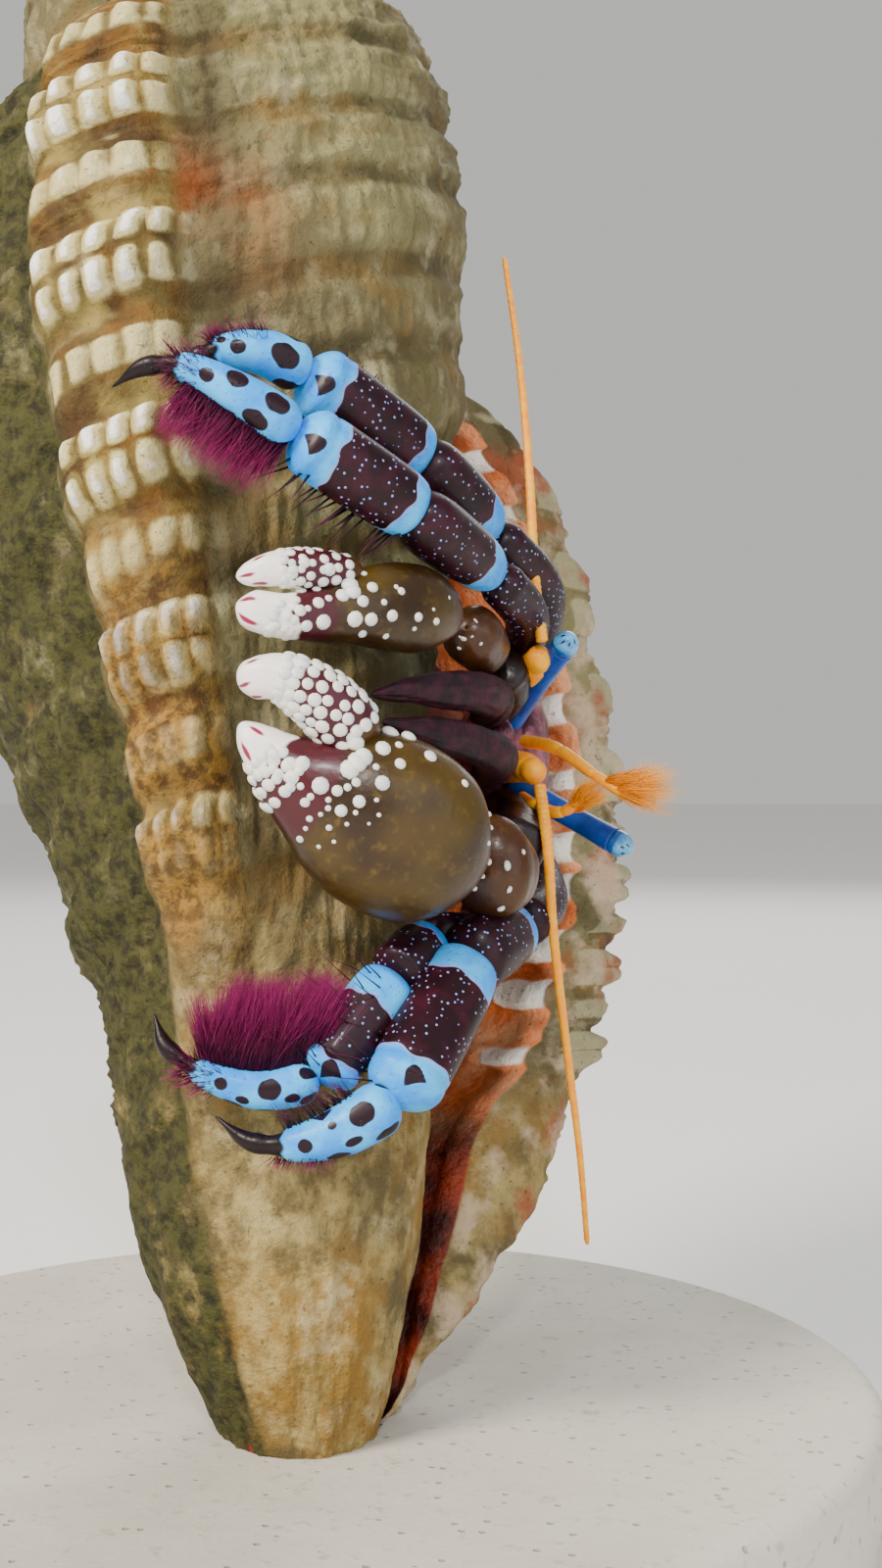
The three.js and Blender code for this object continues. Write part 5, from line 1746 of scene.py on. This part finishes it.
LEFT_CLAW = Claw(
    "left",
    finger=(
        (-3.6, -19.2, 1.7, 1.5, 1.4), (-5.1, -20.4, 3.4, 1.65, 1.5), (-6.4, -21.0, 4.5, 1.5, 1.35),
        (-7.9, -21.3, 5.2, 1.2, 1.1), (-9.2, -21.3, 5.1, 1.0, 0.9), (-9.9, -21.2, 4.8, 0.7, 0.6),
    ),
    palm=(
        (1.9, -15.5, -4.5, 2.9, 2.4), (-0.8, -17.6, -3.1, 4.3, 3.0), (-3.3, -18.8, -1.7, 4.5, 3.0),
        (-5.5, -19.5, -0.5, 3.6, 2.5), (-7.5, -20.1, 0.6, 2.1, 1.7), (-9.0, -20.5, 2.0, 1.1, 1.0),
        (-9.9, -20.7, 3.0, 0.55, 0.55),
    ),
    carpus=((3.7, -7.6, -4.0, 1.9, 1.7), (3.0, -11.0, -4.4, 2.7, 2.1), (2.3, -13.8, -4.5, 2.9, 2.3)),
    merus=((3.4, 0.6, -1.6, 1.7, 1.6), (4.2, -3.6, -3.0, 1.9, 1.8), (4.0, -7.0, -3.8, 1.8, 1.8)),
    finger_white=0.64,
    palm_white=0.85,
    cobbles=(0.62, 0.29, 0.38),
    knobs={
        "finger": ((-4.2, 1.95, 0.46), (-4.1, 2.6, 0.34)),
        "palm": (
            (-4.4, 0.75, 0.5), (-4.05, 1.0, 0.52), (-3.75, 1.3, 0.48), (-2.45, 2.8, 0.48),
            (-1.6, 2.35, 0.41), (-2.85, 1.75, 0.42), (-2.1, 1.9, 0.22), (-2.0, 1.0, 0.3),
            (-0.55, 1.35, 0.35), (-2.9, 0.0, 0.39), (-3.2, 0.8, 0.18), (-5.8, -0.1, 0.45),
            (-5.05, -0.35, 0.29), (-4.55, -0.15, 0.2), (-4.1, 0.05, 0.24), (-4.0, -0.85, 0.33),
            (-4.85, -1.3, 0.32), (-6.55, -0.9, 0.26), (-6.3, -0.6, 0.2), (-6.85, -0.1, 0.2),
            (-7.35, -0.15, 0.28), (-7.5, 0.3, 0.24), (-8.0, 0.25, 0.29), (-8.2, 0.7, 0.28),
            (-7.45, 0.85, 0.36), (-6.9, 0.6, 0.28), (-8.1, 1.4, 0.36), (-5.5, -0.8, 0.16),
            (-5.45, -1.15, 0.16), (-3.1, -0.75, 0.13), (1.2, 0.05, 0.23), (2.05, -0.8, 0.2),
            (2.7, -1.45, 0.16), (3.1, -2.1, 0.14), (-6.4, -1.7, 0.18), (-6.85, -2.75, 0.22),
            (-5.45, -2.1, 0.17), (-3.0, -1.45, 0.13), (2.4, -3.0, 0.14), (2.5, -4.0, 0.19),
            (2.45, -4.9, 0.14), (2.2, -5.8, 0.16), (-6.0, -3.1, 0.13), (-6.6, -2.2, 0.14),
            (-5.9, -1.5, 0.13), (-4.6, -2.0, 0.12), (-5.2, -2.8, 0.12), (-4.2, -1.4, 0.14),
            (-3.5, -1.9, 0.1),
        ),
        "carpus": (
            (3.6, -2.9, 0.2), (3.5, -4.3, 0.3), (3.6, -5.6, 0.22), (4.4, -3.6, 0.16), (3.2, -6.6, 0.24),
        ),
        "merus": ((4.6, -4.2, 0.22),),
    },
    seed=31,
)
RIGHT_CLAW = Claw(
    "right",
    finger=(
        (-3.9, -18.0, 10.4, 0.95, 0.9), (-6.6, -19.7, 10.7, 1.0, 0.95), (-8.4, -20.3, 10.6, 0.85, 0.8),
        (-10.1, -20.5, 10.2, 0.5, 0.45),
    ),
    palm=(
        (0.9, -13.0, 8.75, 1.8, 1.6), (-1.6, -15.6, 9.1, 2.3, 2.0), (-3.6, -17.6, 9.0, 2.1, 1.8),
        (-5.4, -18.8, 8.6, 1.6, 1.4), (-7.6, -20.1, 8.3, 1.15, 1.05), (-9.3, -20.5, 8.6, 1.0, 0.9),
        (-10.1, -20.6, 8.85, 0.55, 0.5),
    ),
    carpus=((2.9, -5.4, 7.2, 1.3, 1.3), (2.1, -8.0, 7.9, 1.6, 1.5), (1.4, -10.8, 8.5, 1.75, 1.6)),
    merus=((3.2, 0.4, 4.6, 1.4, 1.3), (3.8, -2.2, 5.8, 1.5, 1.4), (3.5, -4.6, 6.8, 1.4, 1.4)),
    finger_white=0.64,
    palm_white=0.8,
    cobbles=(0.56, 0.2, 0.3),
    knobs={
        "finger": ((-5.5, 10.6, 0.34), (-6.7, 10.9, 0.3), (-7.7, 11.0, 0.26), (-7.25, 10.5, 0.28)),
        "palm": (
            (-4.7, 10.7, 0.3), (-3.9, 10.55, 0.18), (-4.55, 9.9, 0.46), (-4.35, 9.6, 0.42),
            (-4.85, 9.35, 0.36), (-3.45, 9.85, 0.3), (-3.85, 9.1, 0.32), (-2.8, 9.1, 0.18),
            (-1.95, 9.75, 0.22), (-6.05, 8.95, 0.31), (-5.55, 9.2, 0.2), (-6.95, 8.5, 0.31),
            (-7.5, 8.2, 0.24), (-8.15, 8.25, 0.3), (-7.8, 8.85, 0.24), (-7.1, 9.05, 0.22),
            (-6.95, 9.55, 0.3), (-6.15, 9.7, 0.24), (-6.55, 8.65, 0.18), (-5.8, 8.0, 0.4),
            (-6.6, 7.75, 0.31), (-7.65, 7.6, 0.24), (-8.4, 7.6, 0.28), (-4.3, 8.2, 0.43), (-3.5, 8.2, 0.36),
            (-2.45, 8.4, 0.32), (-1.15, 8.45, 0.26), (-0.2, 8.3, 0.21), (-3.9, 7.5, 0.24),
            (-2.75, 7.45, 0.2), (-1.35, 7.85, 0.14), (0.4, 9.65, 0.12), (-0.4, 8.9, 0.1), (-2.2, 9.9, 0.14),
        ),
        "carpus": (
            (1.2, 7.85, 0.2), (0.85, 8.65, 0.12), (0.85, 9.3, 0.12), (1.7, 8.0, 0.1), (2.2, 7.6, 0.13),
            (1.0, 7.4, 0.14), (1.6, 8.6, 0.1), (0.7, 9.7, 0.1),
        ),
        "merus": ((0.2, 6.1, 0.3), (-1.2, 6.2, 0.16)),
    },
    seed=47,
)


@dataclass
class Eye:
    """A stalked eye: a blue stalk with a light-blue cornea on its end."""

    side: str
    base: Point
    tip: Point
    pupils: tuple[tuple[float, float], ...]
    radius: float = 0.74
    cornea: float = 1.2

    def build(self) -> None:
        """Build the stalk and the cornea, a dome with a rim, facets and small dark pupils."""
        base, tip = np.array(self.base), np.array(self.tip)
        length = float(np.linalg.norm(tip - base))
        collar = 1 - self.cornea / length
        stalk = tuple(
            (*(base + (tip - base) * s * collar), self.radius * w, self.radius * w)
            for s, w in ((0.0, 1.14), (0.3, 0.98), (0.7, 0.95), (1.0, 1.04))
        )
        cap = tuple(
            (*(base + (tip - base) * s), self.radius * w, self.radius * w)
            for s, w in ((collar - 0.03, 1.04), (collar + 0.06, 1.05), (1.0, 0.96))
        )
        body = Limb(stalk, start_round=0.05, end_round=0.03).plain()
        dress(f"eyestalk_{self.side}_fine", body, Finish.EYESTALK, (f"eyestalk_{self.side}",))
        lens = Limb(cap, rings=60, start_round=0.2, end_round=0.75)
        dome = lens.surface()
        share, angle = taken(dome)
        dome.values["rim"] = 1 - smooth(0.25, 0.55, share)
        spots = tuple(Spot(at, turn, 0.11, 0.1) for at, turn in self.pupils)
        dome.values["pupil"] = smooth(-0.02, 0.02, spot_field(lens, share, angle, spots))
        dress(f"cornea_{self.side}_fine", dome, Finish.CORNEA, (f"cornea_{self.side}",))


EYES = (
    Eye("right", (4.1, 0.8, 3.8), (7.5, -5.5, 8.5), ((0.74, 110), (0.84, 150), (0.8, 70), (0.9, 30))),
    Eye("left", (4.3, 0.8, 0.1), (11.1, -3.5, -3.9), ((0.7, 80), (0.84, 110), (0.8, 40), (0.92, 200))),
)


@dataclass
class Feelers:
    """One side's antenna with its stem, and the short tufted antennule beside it."""

    side: str
    peduncle: Rows
    flagellum: tuple[Point, ...]
    antennule: tuple[Point, ...]
    tuft: Point
    seed: int
    tuft_length: tuple[float, float]
    base: float = 0.34
    tip: float = 0.16
    article: float = 0.5

    def build(self) -> None:
        """Build the ringed flagellum, its stem, the antennule and its tuft."""
        long_rows = round_rows(self.flagellum, self.base, self.tip)
        lash = Limb(long_rows, rings=420, corners=16, start_round=0.01, end_round=0.012)
        stem = Limb(self.peduncle, rings=70, corners=40, start_round=0.08, end_round=0.12)
        short_rows = round_rows(self.antennule, 0.4, 0.3)
        rod = Limb(short_rows, rings=90, corners=28, start_round=0.03, end_round=0.05)
        count = lash.length() / self.article
        ringed = lash.plain(lambda share, _: 0.035 * (np.abs(np.sin(math.pi * count * share)) ** 0.5 - 0.6))
        jointed = stem.plain(lambda share, _: -0.14 * (bell(share - 0.45, 0.03) + bell(share - 0.75, 0.03)))
        elbow = rod.plain(lambda share, _: -0.08 * (bell(share - 0.36, 0.02) + bell(share - 0.7, 0.02)))
        names = (f"antenna_{self.side}_flagellum", f"antenna_{self.side}_peduncle", f"antennule_{self.side}")
        for name, surface in zip(names, (ringed, jointed, elbow)):
            dress(f"{name}_fine", surface, Finish.FEELER, (name,))
        hairs = Bristles(
            "tip", Finish.AMBER,
            0.8, 0.99, 0, 360, 560, self.tuft_length, 0.05, 0.6, self.tuft, 0.3, self.seed,
        )
        dress(f"antennule_{self.side}_tuft", hairs.grow(rod), hairs.finish, ())


FEELERS = (
    Feelers(
        "right", ((3.6, 1.4, 5.3, 1.0, 1.0), (5.2, -2.4, 6.6, 0.95, 0.95), (5.8, -4.9, 7.5, 0.7, 0.7)),
        ((5.8, -5.3, 8.1), (5.4, -5.2, 11.5), (5.1, -4.0, 18.2), (4.6, -2.0, 25.0), (3.8, 0.0, 31.6)),
        ((4.9, -0.4, 2.6), (6.8, -4.2, 2.0), (8.6, -6.2, 0.6), (10.2, -7.8, -0.5)),
        (0.6, 0, 0.25), 61, (1.4, 3.0),
    ),
    Feelers(
        "left", ((3.9, 1.4, 1.0, 1.0, 1.0), (4.9, -2.4, 1.0, 0.9, 0.9), (5.5, -5.2, 0.6, 0.7, 0.7)),
        ((5.6, -5.8, 0.0), (6.0, -7.0, -3.4), (6.3, -6.9, -8.0), (7.3, -5.0, -15.8), (8.1, -3.0, -21.5),
         (8.7, -1.0, -27.4)),
        ((4.8, -0.6, -0.8), (5.6, -3.4, -1.3), (6.9, -5.2, -1.6), (8.2, -6.4, -0.8)),
        (0.3, 0, 0.3), 62, (0.6, 1.4),
    ),
)


@dataclass
class Trunk:
    """The crab's body: shield, thorax, soft abdomen, mouthparts and the small hind legs."""

    thorax: Rows = (
        (3.2, 0.9, 1.8, 2.6, 1.9), (3.6, 3.0, 1.7, 3.5, 2.5),
        (3.4, 6.5, 1.7, 3.8, 2.6), (2.4, 10.0, 1.6, 3.0, 2.2),
    )
    deepest: float = 2.6
    maxillipeds: dict[str, Rows] = field(default_factory=lambda: {
        "right": ((2.5, -1.0, 3.8, 1.0, 1.0), (2.8, -8.0, 4.9, 1.1, 1.0), (-0.5, -13.5, 5.0, 0.9, 0.8),
                  (-3.6, -16.4, 4.6, 0.3, 0.3)),
        "left": ((2.5, -1.1, 0.4, 1.0, 1.0), (3.1, -8.2, 1.6, 1.1, 1.0), (-0.1, -13.7, 2.6, 0.9, 0.8),
                 (-3.0, -16.4, 3.2, 0.3, 0.3)),
    })
    mouth: Rows = (
        (3.2, 0.2, 1.9, 1.9, 1.2), (3.3, -2.2, 2.2, 1.9, 1.1), (3.4, -4.0, 2.6, 0.8, 0.6),
    )
    small_legs: dict[str, tuple[Point, ...]] = field(default_factory=lambda: {
        "right_fourth": ((3.6, 8.0, 5.6), (5.2, 6.6, 7.6), (4.4, 4.2, 9.0)),
        "right_fifth": ((1.6, 11.6, 4.9), (-0.6, 13.2, 7.6), (-2.2, 14.6, 9.2)),
        "left_fourth": ((3.6, 8.0, -2.3), (5.2, 6.6, -4.4), (4.4, 4.2, -6.0)),
        "left_fifth": ((1.4, 10.4, -1.9), (-0.7, 10.8, -3.8), (-1.8, 11.2, -4.8)),
    })
    shield_lift: float = 2.3
    shield_thick: float = 0.75

    def build(self, spiral: Spiral) -> None:
        """Build the pieces of the trunk.

        Args:
            spiral: the shell's form, which the abdomen coils into.
        """
        shield = tuple(
            (x + self.shield_lift * deep / self.deepest, y, z, wide * 0.95, self.shield_thick)
            for x, y, z, wide, deep in self.thorax
        )
        self.piece("carapace_shield", Limb(shield, TOWARDS_BACK), Finish.BODY, "body_mauve", 0.1)
        self.piece("cephalothorax", Limb(self.thorax, TOWARDS_BACK), Finish.BODY, "body_mauve", 0.12)
        for side, rows in self.maxillipeds.items():
            # The maxillipeds' near-black maroon is partly painted shade between the claws.
            self.piece(f"maxilliped_{side}", Limb(rows, rings=90), Finish.MOUTH, "mouth_maroon", 0.12)
        self.piece("mouth", Limb(self.mouth, TOWARDS_BACK, corners=96), Finish.BODY, "mouth_maroon", 0.16)
        for name, points in self.small_legs.items():
            small_leg = Limb(round_rows(points, 0.6, 0.25), corners=24, rings=50)
            self.piece(f"leg_{name}", small_leg, Finish.BODY, "body_mauve", 0.03)
        self.piece("abdomen", self.abdomen(spiral), Finish.ABDOMEN, "abdomen_pink", 0.12)

    def abdomen(self, spiral: Spiral) -> Limb:
        """The soft abdomen, which coils into the shell midway between its wall and its earlier whorl.

        Args:
            spiral: the shell's form.

        Returns:
            The limb, tapering towards its end.
        """
        count = 6
        angles = np.linspace(-30, -165, count) * DEG
        level = np.full(count, 0.4)
        depth = spiral.depth(angles, level)
        radius = (spiral.radius(angles, level) - spiral.wall + spiral.earlier(angles, depth)) / 2
        coil = spiral.place(angles, radius, depth)
        rows = tuple((*p, 3.2 - 2.0 * k, 1.8 - k) for p, k in zip(coil, np.linspace(0, 1, count)))
        return Limb(((1.9, 11.3, 1.6, 2.2, 1.9), *rows), TOWARDS_BACK, rings=140)

    def piece(self, node: str, limb: Limb, finish: Finish, slot: str, rough: float) -> None:
        """One piece of the trunk, slightly uneven, in place of its node."""
        surface = limb.plain(lambda share, angle: rough * ripple(share * 4, angle * 1.2, len(node), 4))
        dress(f"{node}_fine", surface, finish, (node,))


# ---- base and studio
@dataclass
class StoneBase:
    """A round slab of honed limestone with a small bevel, which the shell's foot is let into."""

    radius: float = 34.0
    thickness: float = 7.0
    bevel: float = 1.2
    centre: Point = (-8.0, 0.0, -42.4)
    segments: int = 256

    def build(self) -> None:
        """A profile turned about the upright axis: foot, side, rounded shoulder and face."""
        turn = np.linspace(0, 90, 8) * DEG
        lower = [(self.radius - self.bevel * (1 - math.cos(a)), self.bevel * (1 - math.sin(a))) for a in turn]
        shoulder = [(radius, self.thickness - rise) for radius, rise in lower]
        face = [(self.radius * s, self.thickness) for s in (0.94, 0.8, 0.6, 0.4, 0.2, 0.05)]
        under = [(self.radius * s, 0.0) for s in (0.05, 0.5, 0.94)]
        profile = np.array(under + lower[::-1] + shoulder + face)
        angle = np.linspace(0, TURN, self.segments, endpoint=False)
        uneven = 0.04 * ripple(profile[:, None, 0] * 0.2, angle[None, :] * 5, 9, 3)
        radius = profile[:, None, 0] + uneven * smooth(20, 34, profile[:, None, 0])
        rings = np.stack(
            np.broadcast_arrays(radius * np.cos(angle), radius * np.sin(angle), profile[:, None, 1]), axis=-1
        ) + np.array(self.centre)
        dress("stand_base_fine", capped_tube(rings).outward(), Finish.STONE, ("stand_base",))


@dataclass
class Studio:
    """Floor, light and camera."""

    floor_size: float = 8.0
    camera_place: Point = (0.008, -0.115, 0.0424)
    lens: float = 44.0
    sensor: float = 36.0
    floor_rows: int = 25
    surround: str = "#e4e3e0"
    surround_strength: float = 0.75

    def floor(self) -> None:
        """A pale board under the base."""
        half = self.floor_size / 2
        steps = np.linspace(-half, half, self.floor_rows)
        x, y = np.meshgrid(steps, steps, indexing="ij")
        mesh = bpy.data.meshes.new("studio_floor")
        points = np.stack([x, y, np.zeros_like(x)], axis=-1).reshape(-1, 3)
        faces = ring_faces(self.floor_rows, self.floor_rows, closed=False)[:, ::-1]
        mesh.from_pydata(points.tolist(), [], faces.tolist())
        board = bpy.data.objects.new("studio_floor", mesh)
        bpy.context.scene.collection.objects.link(board)
        mesh.materials.append(Finish.FLOOR.material())

    def lamp(self, name: str, place: Point, target: Point, size: float, watts: float, tint: str) -> None:
        """A square soft lamp aimed at a point.

        Args:
            name: the lamp's name.
            place: where it stands, in metres.
            target: what it points at.
            size: its side in metres.
            watts: its power.
            tint: its colour.
        """
        data = bpy.data.lights.new(name, "AREA")
        data.size = size
        data.energy = watts
        data.color = colour(tint)[:3]
        lamp = bpy.data.objects.new(name, data)
        lamp.location = place
        lamp.rotation_euler = (Vector(target) - Vector(place)).to_track_quat("-Z", "Y").to_euler()
        bpy.context.scene.collection.objects.link(lamp)

    def lights(self) -> None:
        """A soft key from the upper left front, a weak fill, a sparkle, a back light and the surround."""
        middle = (0.0, -0.01, 0.05)
        self.lamp("key", (-0.30, -0.30, 0.36), middle, 0.16, 4.6, "#fff4e4")
        self.lamp("fill", (0.35, -0.40, 0.15), middle, 0.4, 0.9, "#eaf2ff")
        self.lamp("sparkle", (0.02, -0.35, 0.25), middle, 0.03, 0.7, "#ffffff")
        self.lamp("back", (0.1, 0.5, 0.4), middle, 0.4, 1.8, "#ffffff")
        world = bpy.data.worlds.new("surround")
        world.use_nodes = True
        background = world.node_tree.nodes["Background"]
        background.inputs["Color"].default_value = colour(self.surround)
        background.inputs["Strength"].default_value = self.surround_strength
        bpy.context.scene.world = world

    def camera(self) -> None:
        """A level camera 115 mm in front of the specimen's middle plane."""
        data = bpy.data.cameras.new("camera")
        data.sensor_fit = "VERTICAL"
        data.sensor_height = self.sensor
        data.lens = self.lens
        data.clip_start = 0.005
        camera = bpy.data.objects.new("camera", data)
        camera.location = self.camera_place
        camera.rotation_euler = (math.pi / 2, 0.0, 0.0)
        bpy.context.scene.collection.objects.link(camera)
        bpy.context.scene.camera = camera


def corners(box: Sequence) -> list[list[float]]:
    """A box's two corners as plain lists."""
    return [[float(v) for v in corner] for corner in box]


def main() -> None:
    """Build the studio, the base, the shell and the crab in order."""
    logging.basicConfig(level=logging.INFO, format="%(name)s %(message)s")
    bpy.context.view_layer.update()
    studio = Studio()
    studio.camera()
    studio.floor()
    studio.lights()
    StoneBase().build()
    shell = Shell()
    shell.build()
    Trunk().build(shell.spiral)
    for leg in LEGS:
        limbs = leg.build()
        for number, patch in enumerate(BRUSHES[leg.name]):
            name = f"leg_{leg.name}_{patch.part}_bristles_{number}"
            dress(name, patch.grow(limbs[patch.part]), patch.finish, ())
    LEFT_CLAW.build()
    RIGHT_CLAW.build()
    for eye in EYES:
        eye.build()
    for side in FEELERS:
        side.build()
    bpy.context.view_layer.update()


if __name__ == "__main__":
    main()
